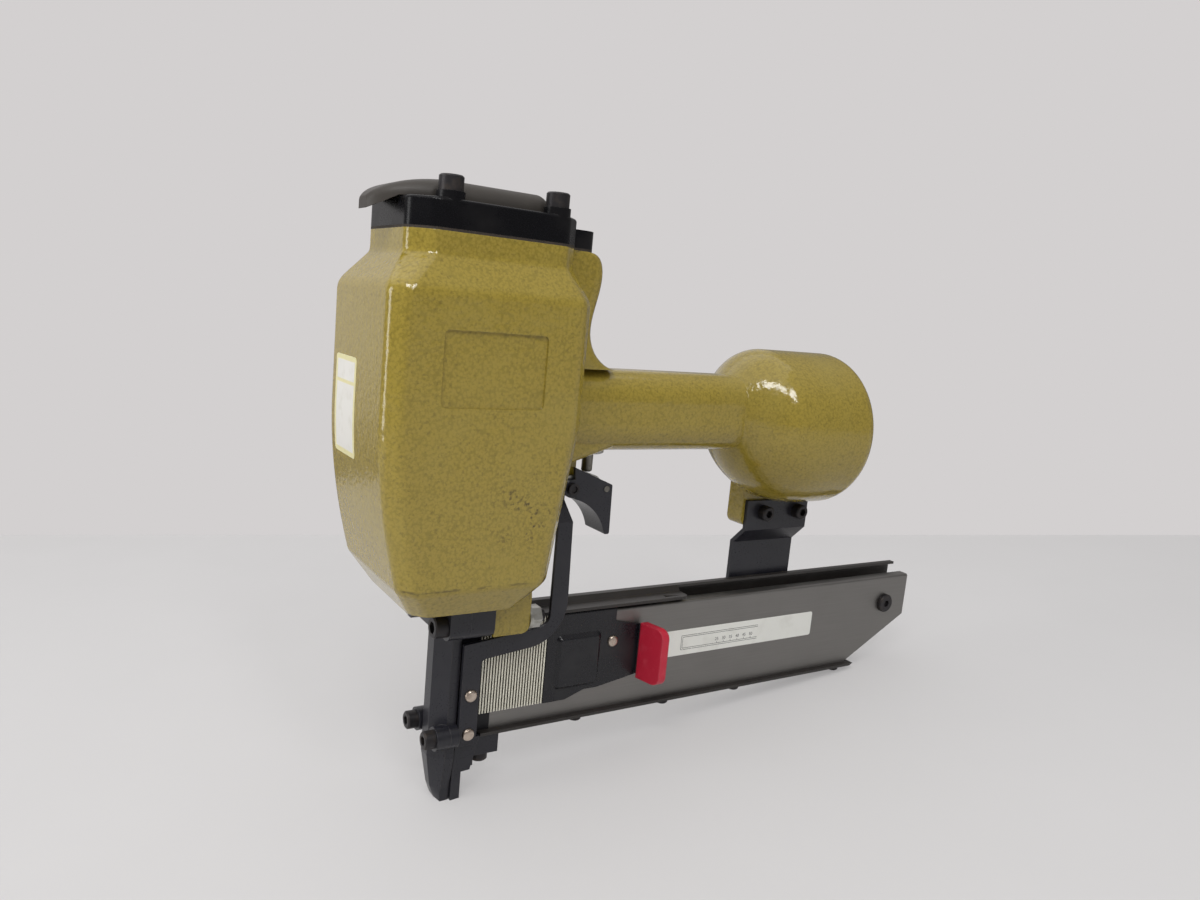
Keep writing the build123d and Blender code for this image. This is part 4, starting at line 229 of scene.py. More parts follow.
class PaintShop(NodeShop):
    """The node tree of one material, read in the stapler's own frame."""

    def __init__(self, name: str) -> None:
        """Open a material.

        Args:
            name: The material's name.
        """
        self.material = bpy.data.materials.new(name)
        self.material.use_nodes = True
        super().__init__(self.material.node_tree)
        self.place = self.out(self.node("ShaderNodeTexCoord"), "Object")

    def axes(self) -> tuple[Signal, Signal, Signal]:
        """Place on the object along X, Y and Z in millimetres."""
        parts = self.node("ShaderNodeSeparateXYZ", None, {0: self.place})
        return tuple(self.out(parts, key) * (1 / MM) for key in range(3))

    def stretched(self, scale: Point) -> Signal:
        """Place with each axis drawn out.

        Args:
            scale: Factor on each axis; below 1 draws a pattern out.

        Returns:
            The drawn out place.
        """
        sockets = {"Vector": self.place, "Scale": scale}
        return self.out(self.node("ShaderNodeMapping", None, sockets))

    def noise(self, size: float, detail: float = 3.0, place: Signal | None = None) -> Signal:
        """Cloudy noise.

        Args:
            size: Size of the largest clouds in millimetres.
            detail: Number of finer layers.
            place: Where it is read; the plain place if left out.

        Returns:
            A signal around 0.5.
        """
        sockets = {"Vector": place or self.place, "Scale": 1 / (size * MM), "Detail": detail}
        return self.out(self.node("ShaderNodeTexNoise", None, sockets))

    def patches(self, cloud: Cloud, place: Signal | None = None) -> Signal:
        """Mask of cloudy patches.

        Args:
            cloud: Their size and sharpness.
            place: Where they are read; the plain place if left out.

        Returns:
            A signal from 0 to 1.
        """
        return self.step(self.noise(cloud.size, cloud.detail, place), cloud.low, cloud.high)

    def cells(self, size: float) -> Signal:
        """Distance from the middle of soft cells of a size in millimetres."""
        sockets = {"Vector": self.place, "Scale": 1 / (size * MM), "Smoothness": 0.6}
        return self.out(self.node("ShaderNodeTexVoronoi", {"feature": "SMOOTH_F1"}, sockets))

    def distance(self, point: Point) -> Signal:
        """Distance from a point, all in millimetres."""
        gap = self.node("ShaderNodeVectorMath", {"operation": "DISTANCE"},
                        {0: self.place, 1: Vector(point) * MM})
        return self.out(gap, "Value") * (1 / MM)

    def eased(self, radius: float) -> Signal:
        """Normal that rounds sharp edges over a radius in millimetres."""
        return self.out(self.node("ShaderNodeBevel", {"samples": 4}, {"Radius": radius * MM}))

    def edges(self, radius: float) -> Signal:
        """Mask of the sharp edges, within a radius in millimetres."""
        plain = self.out(self.node("ShaderNodeNewGeometry"), "Normal")
        turn = self.node("ShaderNodeVectorMath", {"operation": "DOT_PRODUCT"},
                         {0: self.eased(radius), 1: plain})
        return self.step(1 - self.out(turn, "Value"), 0.02, 0.2)

    def bump(self, height: Signal, depth: float, under: Signal | None = None) -> Signal:
        """Normal of a fine relief.

        Args:
            height: Relief from 0 to 1.
            depth: Its height in millimetres.
            under: Normal that it lies on; the plain one if left out.

        Returns:
            The bumped normal.
        """
        sockets = {"Height": height, "Distance": depth * MM}
        if under:
            sockets["Normal"] = under
        return self.out(self.node("ShaderNodeBump", None, sockets))

    def surface(self, sockets: dict[str, Any]) -> None:
        """Close the tree with a shader.

        Args:
            sockets: Values or signals of the shader's inputs.
        """
        shader = self.node("ShaderNodeBsdfPrincipled", None, sockets)
        self.node("ShaderNodeOutputMaterial", None, {"Surface": self.out(shader)})


@dataclass(frozen=True)
class Finish:
    """A finish that can be laid on a piece."""

    name: str

    def mix(self, shop: PaintShop) -> None:
        """Fill a material; each kind of finish has its own way."""
        raise NotImplementedError

    def material(self) -> bpy.types.Material:
        """The finish's material, made at its first use."""
        label = f"{self.name}_coat"
        made = bpy.data.materials.get(label)
        if made is None:
            shop = PaintShop(label)
            self.mix(shop)
            made = shop.material
        return made


@dataclass(frozen=True)
class HammeredEnamel(Finish):
    """Glossy enamel that dries into small dimples."""

    crest: Colour
    pit: Colour
    haze: Colour
    soil: Colour
    soil_at: Point
    soil_reach: float = 24.0
    scuff_height: float = 114.2
    scuff_sides: Band = (30.0, 34.0)
    scuff_fade: Band = (0.2, 0.9)
    scuff_draw: Point = (0.5, 1.0, 1.6)
    scuff_cloud: Cloud = Cloud(4.0, 5, 0.45, 0.62)
    haze_cloud: Cloud = Cloud(34.0, 3, 0.4, 0.75)
    fleck_cloud: Cloud = Cloud(1.9, 4, 0.52, 0.63)
    group_cloud: Cloud = Cloud(9.0, 3, 0.36, 0.56)
    speck_cloud: Cloud = Cloud(1.4, 2, 0.58, 0.7)
    chip_cloud: Cloud = Cloud(3.2, 5, 0.6, 0.7)
    chip_reach: float = 0.9
    grain: float = 0.55
    dimple: float = 1.3
    ripple: float = 2.6
    relief: float = 0.1
    gloss: float = 0.08

    def mix(self, shop: PaintShop) -> None:
        """Dimples, dark specks, slow haze, soil where a hand rests and a scuffed crease."""
        dimple = shop.cells(self.dimple)
        grain = shop.noise(self.grain, 3)
        haze = shop.patches(self.haze_cloud)
        pits = shop.step(dimple * 0.7 + grain * 0.7, 0.5, 0.95)
        near = 1 - shop.step(shop.distance(self.soil_at), 0.2 * self.soil_reach, self.soil_reach)
        flecks = shop.patches(self.fleck_cloud) * shop.patches(self.group_cloud)
        specks = shop.patches(self.speck_cloud)
        across, height = shop.axes()[1:]
        level = 1 - shop.step(abs(height - self.scuff_height), *self.scuff_fade)
        crease = level * shop.step(abs(across), *self.scuff_sides)
        scuffs = crease * shop.patches(self.scuff_cloud, shop.stretched(self.scuff_draw))
        chips = shop.edges(self.chip_reach) * shop.patches(self.chip_cloud)
        marks = near * flecks * 0.8 + scuffs * 0.6 + specks * 0.24 + chips * 0.3
        colour = shop.tint(haze * 0.35, shop.tint(pits, self.crest, self.pit), self.haze)
        relief = -0.35 * dimple - shop.cells(self.ripple)
        shop.surface({
            "Base Color": shop.tint(marks, colour, self.soil),
            "Roughness": self.gloss + grain * 0.06 + haze * 0.03 + near * flecks * 0.06,
            "Specular IOR Level": 0.6,
            "Normal": shop.bump(relief, self.relief, shop.eased(0.7)),
        })


@dataclass(frozen=True)
class SatinPaint(Finish):
    """Baked paint with rubbed edges, and a painted highlight along every edge."""

    colour: Colour
    rubbed: Colour
    gloss: float = 0.4
    grain: float = 0.6
    relief: float = 0.02
    shine: float = 0.28
    rub_cloud: Cloud = Cloud(2.5, 4, 0.46, 0.62)
    smear_cloud: Cloud = Cloud(17.0, 5, 0.45, 0.8)

    def mix(self, shop: PaintShop) -> None:
        """Fine grain, smears of handling, bare metal along the edges, and a painted highlight on
        all edges.
        """
        grain = shop.noise(self.grain, 5)
        # Patchy rubbed wear on the edges, plus an even lightening of every edge that is a painted
        # highlight.
        rub_and_highlight = shop.edges(0.45) * (0.35 + 0.65 * shop.patches(self.rub_cloud))
        dust = shop.patches(self.smear_cloud) * 0.25
        shop.surface({
            # The edge mask tints towards the pale grey: rubbed wear plus painted highlight.
            "Base Color": shop.tint(rub_and_highlight * 0.5 + dust * 0.3, self.colour, self.rubbed),
            "Metallic": rub_and_highlight * 0.4,
            "Roughness": self.gloss - 0.08 + grain * 0.14 + dust * 0.4,
            "Specular IOR Level": self.shine,
            "Normal": shop.bump(grain, self.relief, shop.eased(0.4)),
        })


@dataclass(frozen=True)
class BrushedSteel(Finish):
    """Sheet steel with the fine lines of its rolling."""

    dark: Colour
    light: Colour
    draw: Point
    gloss: float = 0.38
    black_end: float = -100.0
    black_fade: float = 0.3
    blacked: Colour = tone(24, 24, 27)

    def mix(self, shop: PaintShop) -> None:
        """Drawn out lines over slow stains, and a blackened front end."""
        line = shop.noise(0.35, 4, shop.stretched(self.draw))
        stain = shop.noise(24, 4)
        black = shop.step(shop.axes()[0], self.black_end, self.black_end - self.black_fade)
        steel = shop.tint(line * 0.6 + stain * 0.4, self.dark, self.light)
        shop.surface({
            "Base Color": shop.tint(black, steel, self.blacked),
            "Metallic": 1 - 0.6 * black,
            "Roughness": self.gloss + line * 0.12 + stain * 0.1,
            "Normal": shop.bump(line, 0.012, shop.eased(0.25)),
        })


@dataclass(frozen=True)
class PlatedSteel(Finish):
    """Plated or bare metal of small hardware."""

    colour: Colour
    stain: Colour
    gloss: float = 0.28
    speck: float = 1.2
    metal: float = 1.0
    spot_cloud: Cloud = Cloud(4.0, 4, 0.45, 0.75)

    def mix(self, shop: PaintShop) -> None:
        """Fine pits and stains that gather in spots."""
        speck = shop.noise(self.speck, 5)
        spot = shop.patches(self.spot_cloud)
        shop.surface({
            "Base Color": shop.tint(spot * 0.6 + speck * 0.2, self.colour, self.stain),
            "Metallic": self.metal,
            "Roughness": self.gloss + speck * 0.14 + spot * 0.12,
            "Normal": shop.bump(speck, 0.02, shop.eased(0.2)),
        })


@dataclass(frozen=True)
class DrawnWire(Finish):
    """Lacquered staple wire, each wire a little different."""

    colour: Colour
    shade: Colour
    glue: Colour

    def mix(self, shop: PaintShop) -> None:
        """Tones that run along the legs and change from wire to wire, with glue between them."""
        wire = shop.noise(1.1, 2, shop.stretched((1.0, 0.2, 0.04)))
        line = shop.noise(0.3, 3, shop.stretched((1.0, 1.0, 0.05)))
        normal = shop.out(shop.node("ShaderNodeNewGeometry"), "Normal")
        across = shop.out(shop.node("ShaderNodeSeparateXYZ", None, {0: normal}))
        lacquer = shop.tint(wire * 0.7 + line * 0.2, self.colour, self.shade)
        shop.surface({
            "Base Color": shop.tint(shop.step(abs(across), 0.55, 0.95), lacquer, self.glue),
            "Metallic": 0.12,
            "Roughness": 0.3 + line * 0.2,
            "Coat Weight": 0.2,
            "Normal": shop.bump(line, 0.02),
        })


@dataclass(frozen=True)
class DippedVinyl(Finish):
    """Soft vinyl that was dipped over a steel tab."""

    colour: Colour
    worn: Colour
    dirt_cloud: Cloud = Cloud(5.0, 5, 0.5, 0.8)
    soft: float = 1.2

    def mix(self, shop: PaintShop) -> None:
        """A slight peel and a paler bloom on the edges."""
        peel = shop.noise(2.2, 2)
        dirt = shop.patches(self.dirt_cloud)
        bloom = shop.edges(self.soft) * 0.5
        shop.surface({
            "Base Color": shop.tint(bloom + dirt * 0.3, self.colour, self.worn),
            "Roughness": 0.36 + dirt * 0.2 + peel * 0.08,
            "Normal": shop.bump(peel, 0.06, shop.eased(self.soft)),
        })


@dataclass(frozen=True)
class MatteSheet(Finish):
    """Card, rubber and other dull sheet."""

    colour: Colour
    fleck: Colour
    fibre: float = 0.8

    def mix(self, shop: PaintShop) -> None:
        """Short fibres or fine bloom in two tones."""
        fibre = shop.noise(self.fibre, 5)
        shop.surface({
            "Base Color": shop.tint(shop.step(fibre, 0.35, 0.7), self.colour, self.fleck),
            "Roughness": 0.72 + fibre * 0.2,
            "Normal": shop.bump(fibre, 0.05),
        })


@dataclass(frozen=True)
class PrintedVinyl(Finish):
    """White vinyl label with a plain leg length scale printed on it."""

    paper: Colour
    ink: Colour
    left: float
    low: float
    reach: float = 55.0
    pitch: float = 5.0
    line: float = 0.13
    middle: float = 5.4
    outer: float = 4.0
    inner: float = 3.1
    wire: float = 0.9
    tick_ends: Band = (4.5, 10.5)
    tick_height: float = 2.8
    tick_half: float = 0.6
    wear_cloud: Cloud = Cloud(0.6, 4, 0.28, 0.4)
    smudge_cloud: Cloud = Cloud(9.0, 5, 0.5, 0.8)
    grime: Colour = tone(176, 172, 160)

    def mix(self, shop: PaintShop) -> None:
        """The outline of one staple on its side, with ticks along its lower leg."""
        x, _, z = shop.axes()
        x, z = x - self.left, z - self.low
        rise = abs(z - self.middle)
        span = (x > 0) * (x < self.reach)
        outside = span * (abs(rise - self.outer) < self.line)
        inside = span * (x > self.wire) * (abs(rise - self.inner) < self.line)
        back = (abs(x) < self.line) * (rise < self.outer)
        front = (abs(x - self.wire) < self.line) * (rise < self.inner)
        first, last = (end * self.pitch for end in self.tick_ends)
        marks = (x > first) * (x < last) * (abs(z - self.tick_height) < self.tick_half)
        ticks = marks * (abs(x % self.pitch - self.pitch / 2) > self.pitch / 2 - self.line)
        outline = outside + inside + (back + front)
        print_mask = ((outline + ticks) > 0) * shop.patches(self.wear_cloud)
        smudge = shop.patches(self.smudge_cloud)
        paper = shop.tint(smudge * 0.25, self.paper, self.grime)
        shop.surface({
            "Base Color": shop.tint(print_mask, paper, self.ink),
            "Roughness": 0.34 + smudge * 0.2,
            "Normal": shop.bump(shop.noise(3, 3), 0.02),
        })


@dataclass(frozen=True)
class PlainLabel(Finish):
    """Blank label with a coloured margin."""

    paper: Colour
    margin: Colour
    low: Point
    high: Point
    border: float = 2.2
    header: float = 9.0
    smudge_cloud: Cloud = Cloud(7.0, 5, 0.48, 0.8)
    grime: Colour = tone(170, 164, 140)

    def mix(self, shop: PaintShop) -> None:
        """White field and header, pale margin, and handling marks."""
        _, y, z = shop.axes()
        side = (y < self.low[1] + self.border) + (y > self.high[1] - self.border)
        ends = (z < self.low[2] + self.border) + (z > self.high[2] - self.border)
        divide = abs(z - self.high[2] + self.border + self.header) < self.border / 3
        smudge = shop.patches(self.smudge_cloud)
        field_colour = shop.tint((side + ends + divide) > 0, self.paper, self.margin)
        shop.surface({
            "Base Color": shop.tint(smudge * 0.25, field_colour, self.grime),
            "Roughness": 0.32 + smudge * 0.25,
            "Normal": shop.bump(shop.noise(2.5, 3), 0.03),
        })


LABEL_LOW = (-51.0, -0.7, 161.5)
LABEL_HIGH = (-48.0, 27.3, 204.0)
SCALE_LEFT = 134.0
SCALE_LOW = 53.4


class Coat(Enum):
    """The finishes on the stapler."""

    OLIVE = HammeredEnamel("hammered_enamel", tone(151, 132, 52), tone(132, 115, 42),
                           tone(150, 134, 64), tone(58, 45, 24), (11.0, -38.0, 145.0))
    BLACK = SatinPaint("satin_black", tone(32, 32, 38), tone(104, 101, 99), 0.3, 0.6, 0.02, 0.42)
    CAP = SatinPaint("cap_black", tone(11, 11, 14), tone(84, 80, 78), 0.28, 0.6, 0.02, 0.18)
    PUSHER = SatinPaint("pusher_black", tone(19, 19, 24), tone(104, 101, 99), 0.28, 0.6, 0.02, 0.42)
    ROOF = SatinPaint("dull_black", tone(44, 41, 39), tone(104, 98, 92), 0.34, 1.1, 0.02, 0.42)
    HOOD = SatinPaint("hood_grey", tone(62, 58, 54), tone(112, 106, 98), 0.46, 1.4, 0.05)
    SCREW = PlatedSteel("black_oxide", tone(40, 39, 42), tone(66, 58, 52), 0.36, 0.7, 0.5)
    RAIL = BrushedSteel("rail_steel", tone(120, 118, 115), tone(151, 149, 146), (0.012, 1.0, 1.0),
                        0.38, 21.6)
    BLADE = BrushedSteel("ground_steel", tone(112, 112, 112), tone(150, 150, 150),
                         (1.0, 1.0, 0.02), 0.26)
    SPRING = PlatedSteel("spring_steel", tone(132, 130, 124), tone(96, 90, 82), 0.3)
    WIRE = DrawnWire("staple_lacquer", tone(240, 237, 222), tone(208, 204, 184), tone(98, 90, 72))
    GRIP = DippedVinyl("red_vinyl", tone(186, 28, 54), tone(206, 84, 98))
    NICKEL = PlatedSteel("nickel", tone(200, 187, 174), tone(142, 126, 112), 0.24)
    ZINC = PlatedSteel("zinc", tone(186, 186, 180), tone(140, 136, 124), 0.26, 2.0)
    ALUMINIUM = PlatedSteel("aluminium", tone(184, 184, 184), tone(168, 168, 166), 0.34, 0.6)
    CARD = MatteSheet("gasket_card", tone(44, 38, 32), tone(60, 51, 41))
    RUBBER = MatteSheet("seal_rubber", tone(28, 28, 28), tone(42, 42, 42), 1.6)
    SCALE = PrintedVinyl("scale_label", tone(226, 226, 220), tone(48, 48, 48),
                         SCALE_LEFT, SCALE_LOW)
    INK = MatteSheet("print_ink", tone(44, 44, 46), tone(70, 70, 72), 0.5)
    LABEL = PlainLabel("front_label", tone(224, 222, 216), tone(222, 214, 162),
                       LABEL_LOW, LABEL_HIGH)


def lay(piece: bpy.types.Object, coat: Coat) -> None:
    """Put one finish on a piece.

    Args:
        piece: The object to dress.
        coat: Its finish.
    """
    piece.data.materials.clear()
    piece.data.materials.append(coat.value.material())


class Bench:
    """Modelling steps that several pieces share."""

    @staticmethod
    def clear() -> None:
        """Leave edit mode and drop the selection."""
        if bpy.context.mode != "OBJECT":
            bpy.ops.object.mode_set(mode="OBJECT")
        bpy.ops.object.select_all(action="DESELECT")

    @staticmethod
    def block(name: str, low: Point, high: Point) -> bpy.types.Object:
        """Start a piece from a box.

        Args:
            name: Name of the piece.
            low: Lowest corner in millimetres.
            high: Highest corner in millimetres.

        Returns:
            The box, selected, with its place in its mesh.
        """
        Bench.clear()
        first, last = Vector(low) * MM, Vector(high) * MM
        bpy.ops.mesh.primitive_cube_add(size=1, location=(first + last) / 2, scale=last - first)
        piece = bpy.context.object
        piece.name = name
        bpy.ops.object.transform_apply(location=True, rotation=True, scale=True)
        return piece

    @staticmethod
    def faces(piece: bpy.types.Object, test: Test) -> None:
        """Select faces in edit mode.

        Args:
            piece: The object in work.
            test: Tells from a face's centre and normal if it is taken.
        """
        bpy.ops.object.mode_set(mode="EDIT")
        bpy.ops.mesh.select_mode(type="FACE")
        bpy.ops.mesh.select_all(action="DESELECT")
        bpy.ops.object.mode_set(mode="OBJECT")
        for face in piece.data.polygons:
            face.select = test(face.center / MM, face.normal)
        bpy.ops.object.mode_set(mode="EDIT")

    @staticmethod
    def edges(piece: bpy.types.Object, test: Test) -> None:
        """Select edges in edit mode.

        Args:
            piece: The object in work.
            test: Tells from an edge's middle and direction if it is taken.
        """
        bpy.ops.object.mode_set(mode="EDIT")
        bpy.ops.mesh.select_mode(type="EDGE")
        bpy.ops.mesh.select_all(action="DESELECT")
        bpy.ops.object.mode_set(mode="OBJECT")
        points = piece.data.vertices
        for edge in piece.data.edges:
            first, last = (points[key].co for key in edge.vertices)
            edge.select = test((first + last) / 2 / MM, (last - first).normalized())
        bpy.ops.object.mode_set(mode="EDIT")

    @staticmethod
    def cut(place: Point, normal: Point) -> None:
        """Cut the whole mesh along a plane, in edit mode.

        Args:
            place: A point of the plane in millimetres.
            normal: The plane's normal.
        """
        bpy.ops.mesh.select_all(action="SELECT")
        bpy.ops.mesh.bisect(plane_co=Vector(place) * MM, plane_no=normal)

    @staticmethod
    def apply(piece: bpy.types.Object, kind: str, **settings: Any) -> None:
        """Add a modifier and apply it.

        Args:
            piece: The object in work.
            kind: The modifier's type.
            **settings: Its properties.
        """
        bpy.ops.object.mode_set(mode="OBJECT")
        modifier = piece.modifiers.new(kind.lower(), kind)
        for key, value in settings.items():
            setattr(modifier, key, value)
        bpy.ops.object.modifier_apply(modifier=modifier.name)

    @staticmethod
    def twin(node: str, name: str) -> bpy.types.Object:
        """Copy a CAD node as a piece of its own, with its doubles merged.

        Args:
            node: The CAD node.
            name: Name of the piece.

        Returns:
            The copy, in edit mode.
        """
        Bench.clear()
        piece = bpy.data.objects.new(name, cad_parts[node].data.copy())
        bpy.context.collection.objects.link(piece)
        piece.select_set(True)
        bpy.context.view_layer.objects.active = piece
        bpy.ops.object.mode_set(mode="EDIT")
        bpy.ops.mesh.select_all(action="SELECT")
        bpy.ops.mesh.remove_doubles(threshold=MERGE_GAP * MM)
        return piece

    @staticmethod
    def close(piece: bpy.types.Object, body: str, coat: Coat, slot: str = "") -> bpy.types.Object:
        """Finish a piece: normals, shading, coat and the body that it rides on.

        Args:
            piece: The object in work.
            body: CAD body that carries it; empty for a piece that is left unattached.
            coat: Its finish.
            slot: Not used.

        Returns:
            The piece.
        """
        bpy.ops.object.mode_set(mode="EDIT")
        bpy.ops.mesh.select_all(action="SELECT")
        bpy.ops.mesh.normals_make_consistent(inside=False)
        bpy.ops.object.mode_set(mode="OBJECT")
        bpy.ops.object.shade_smooth_by_angle(angle=SMOOTH_ANGLE)
        lay(piece, coat)
        if body:
            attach(piece, body)
        return piece


@dataclass
class Assembly:
    """A group of pieces that is built and dressed together."""

    coats: dict[str, Coat] = field(default_factory=dict)

    def build(self) -> Iterator[bpy.types.Object]:
        """Model the pieces that the frame lacks; none unless a group says so."""
        return iter(())

    def dress(self) -> None:
        """Lay the finishes on the group's CAD nodes."""
        for node, coat in self.coats.items():
            lay(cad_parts[node], coat)


@dataclass
class PowerHead(Assembly):
    """Housing, cap, hood and the air cylinder."""

    coats: dict[str, Coat] = field(default_factory=lambda: {
        "housing": Coat.OLIVE, "cap_gasket": Coat.CARD, "cylinder_cap": Coat.CAP,
        "cap_bolts": Coat.SCREW, "rear_cap_bolt": Coat.SCREW, "exhaust_hood": Coat.HOOD,
        "hood_screw": Coat.SCREW, "cylinder_sleeve": Coat.ALUMINIUM, "sleeve_seals": Coat.RUBBER,
        "bumper": Coat.RUBBER, "head_valve": Coat.ALUMINIUM, "head_valve_seal": Coat.RUBBER,
        "head_valve_spring": Coat.SPRING, "piston": Coat.ALUMINIUM, "piston_ring": Coat.RUBBER,
        "driver_blade": Coat.BLADE, "blade_pin": Coat.SPRING})
    label_round: float = 2.0
    label_thick: float = 0.1
    label_gap: float = 0.01
    label_rows: int = 14

    def build(self) -> Iterator[bpy.types.Object]:
        """The blank label on the front of the cylinder body."""
        low, high = Vector(LABEL_LOW), Vector(LABEL_HIGH)
        label = Bench.block("front_label", low, high)
        Bench.faces(label, lambda centre, normal: normal.x > -0.5)
        bpy.ops.mesh.delete(type="FACE")
        bpy.ops.mesh.select_all(action="SELECT")
        bpy.ops.mesh.bevel(offset=self.label_round * MM, segments=ROUND_STEPS, affect="VERTICES")
        for row in range(1, self.label_rows):
            height = low.z + (high.z - low.z) * row / self.label_rows
            Bench.cut((0, 0, height), (0, 0, 1))
        Bench.apply(label, "SHRINKWRAP", target=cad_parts["housing"], wrap_method="PROJECT",
                    use_project_x=True, use_positive_direction=True, use_negative_direction=True,
                    offset=self.label_gap * MM)
        Bench.apply(label, "SOLIDIFY", thickness=self.label_thick * MM, offset=1.0)
        yield Bench.close(label, "frame", Coat.LABEL)


@dataclass
class TriggerGroup(Assembly):
    """Trigger, its valve and the dog that the contact arm lifts."""

    coats: dict[str, Coat] = field(default_factory=lambda: {
        "trigger_valve_body": Coat.ALUMINIUM, "valve_stem": Coat.SPRING,
        "valve_spring": Coat.SPRING, "trigger": Coat.BLACK, "trigger_pin": Coat.SCREW,
        "dog_lever": Coat.ZINC, "dog_pin": Coat.SPRING})


@dataclass
class Nose(Assembly):
    """Nose plates, their bolts and the contact arm."""

    coats: dict[str, Coat] = field(default_factory=lambda: {
        "nose_front_plate": Coat.BLACK, "driver_guide_plate": Coat.BLACK,
        "nose_rear_guide": Coat.BLACK, "nose_lower_bolts": Coat.SCREW,
        "nose_flange_bolts": Coat.SCREW, "flange_washers": Coat.ZINC, "flange_nuts": Coat.ZINC,
        "contact_arm": Coat.BLACK, "contact_foot": Coat.BLACK, "arm_rivets": Coat.NICKEL,
        "arm_spring": Coat.SPRING})


@dataclass
class StapleStrip(Assembly):
    """The glued staples, wire by wire."""

    count: int = 32
    wire: float = 1.5
    gap: float = 0.5
    corner: float = 0.7
    chisel: float = 0.9
    edge: float = 0.3
    corner_steps: int = 4

    def wire_shape(self, low: Vector, high: Vector) -> bpy.types.Object:
        """Model the first staple.

        Args:
            low: Lowest corner of the strip in millimetres.
            high: Its highest corner.

        Returns:
            A staple with its crown up, at the front of the strip.
        """
        inner = high.y - self.wire
        staple = Bench.block("staple_wires", (low.x + self.gap / 2, low.y, high.z - self.wire),
                             (low.x + self.wire - self.gap / 2, high.y, high.z))
        bpy.ops.object.mode_set(mode="EDIT")
        for side in (-inner, inner):
            Bench.cut((0, side, 0), (0, 1, 0))
        Bench.faces(staple, lambda centre, normal: normal.z < -ALONG and abs(centre.y) > inner)
        drop = (low.z - high.z + self.wire) * MM
        bpy.ops.mesh.extrude_region_move(TRANSFORM_OT_translate={"value": (0, 0, drop)})
        Bench.edges(staple, lambda middle, way: middle.z < low.z + NEAR and abs(way.x) > ALONG
                    and abs(middle.y) < inner + NEAR)
        bpy.ops.transform.translate(value=(0, 0, self.chisel * MM))
        Bench.edges(staple, lambda middle, way: middle.z > high.z - NEAR and abs(way.x) > ALONG
                    and abs(middle.y) > inner + NEAR)
        bpy.ops.mesh.bevel(offset=self.corner * MM, segments=self.corner_steps)
        Bench.apply(staple, "BEVEL", width=self.edge * MM, segments=2, limit_method="ANGLE")
        return staple

    def build(self) -> Iterator[bpy.types.Object]:
        """Copy the staple along the rail and join the strip."""
        low, high = (Vector(corner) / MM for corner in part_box("staple_strip"))
        first = self.wire_shape(low, high)
        pitch = (high.x - low.x) / self.count
        for turn in range(1, self.count):
            copy = first.copy()
            copy.data = first.data.copy()
            copy.data.transform(Matrix.Translation((turn * pitch * MM, 0, 0)))
            bpy.context.collection.objects.link(copy)
            copy.select_set(True)
        bpy.context.view_layer.objects.active = first
        bpy.ops.object.join()
        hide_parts("staple_strip")
        yield Bench.close(first, "frame", Coat.WIRE, "staple_wire")


@dataclass
class Magazine(Assembly):
    """Rail, frame, pusher and rear bracket."""

    coats: dict[str, Coat] = field(default_factory=lambda: {
        "magazine_frame": Coat.ROOF, "magazine_core": Coat.RAIL, "core_spacers": Coat.BLACK,
        "core_bolts": Coat.SCREW, "core_front_screw": Coat.SCREW, "core_rear_screw": Coat.SCREW,
        "core_rear_sleeve": Coat.ZINC, "core_rear_nut": Coat.ZINC, "staple_strip": Coat.WIRE,
        "pusher": Coat.PUSHER, "pusher_grip": Coat.GRIP, "pusher_rivet": Coat.NICKEL,
        "pusher_spring": Coat.SPRING, "rear_bracket": Coat.BLACK, "bracket_rivets": Coat.NICKEL,
        "bracket_bolts": Coat.SCREW, "bracket_nuts": Coat.ZINC})
    label_front: float = 112.0
    label_rear: float = 232.0
    label_low: float = 51.8
    label_high: float = 66.3
    label_thick: float = 0.07
    label_round: float = 1.4
    number_height: float = 2.6
    number_step: int = 5
    number_ends: tuple[int, int] = (25, 50)
    number_proud: float = 0.015
    number_lift: float = 3.9

    def numbers(self, face: float) -> bpy.types.Object:
        """Set the plain numbers of the scale over its ticks.

        Args:
            face: Place of the label's face along Y in millimetres.

        Returns:
            The numbers, joined as thin plates.
        """
        Bench.clear()
        first, last = self.number_ends
        plates = []
        for value in range(first, last + 1, self.number_step):
            place = Vector((SCALE_LEFT + value, face, SCALE_LOW + self.number_lift)) * MM
            bpy.ops.object.text_add(location=place, rotation=(math.pi / 2, 0, 0))
            text = bpy.context.object
            text.data.body = str(value)
            text.data.align_x = "CENTER"
            text.data.size = self.number_height * MM
            text.data.extrude = self.number_proud * MM
            plates.append(text)
        for text in plates:
            text.select_set(True)
        bpy.ops.object.convert(target="MESH")
        bpy.ops.object.join()
        bpy.ops.object.transform_apply(location=True, rotation=True, scale=True)
        bpy.context.object.name = "scale_numbers"
        return bpy.context.object

    def build(self) -> Iterator[bpy.types.Object]:
        """The scale label on the near side of the rail, with its numbers."""
        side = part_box("magazine_core")[0].y / MM
        face = side - self.label_thick
        label = Bench.block("scale_label", (self.label_front, face, self.label_low),
                            (self.label_rear, side, self.label_high))
        Bench.edges(label, lambda middle, way: abs(way.y) > ALONG)
        bpy.ops.mesh.bevel(offset=self.label_round * MM, segments=ROUND_STEPS)
        yield Bench.close(label, "frame", Coat.SCALE)
        yield Bench.close(self.numbers(face), "frame", Coat.INK)


@dataclass
class Springs(Assembly):
    """Coil springs that stand on the frame and push a moving part down."""

    pushed: dict[str, str] = field(default_factory=lambda: {
        "head_valve_spring": "head_valve", "valve_spring": "valve_stem", "arm_spring": "contact"})
    flat_end: float = 1.0

    def build(self) -> Iterator[bpy.types.Object]:
        """Copy each coil as a piece of its own, with its CAD node hidden."""
        for node, body in self.pushed.items():
            low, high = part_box(node)
            coil = Bench.close(Bench.twin(node, f"{node}_coil"), "", Coat.SPRING, "spring_steel")
            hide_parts(node)
            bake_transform(coil)
            yield coil


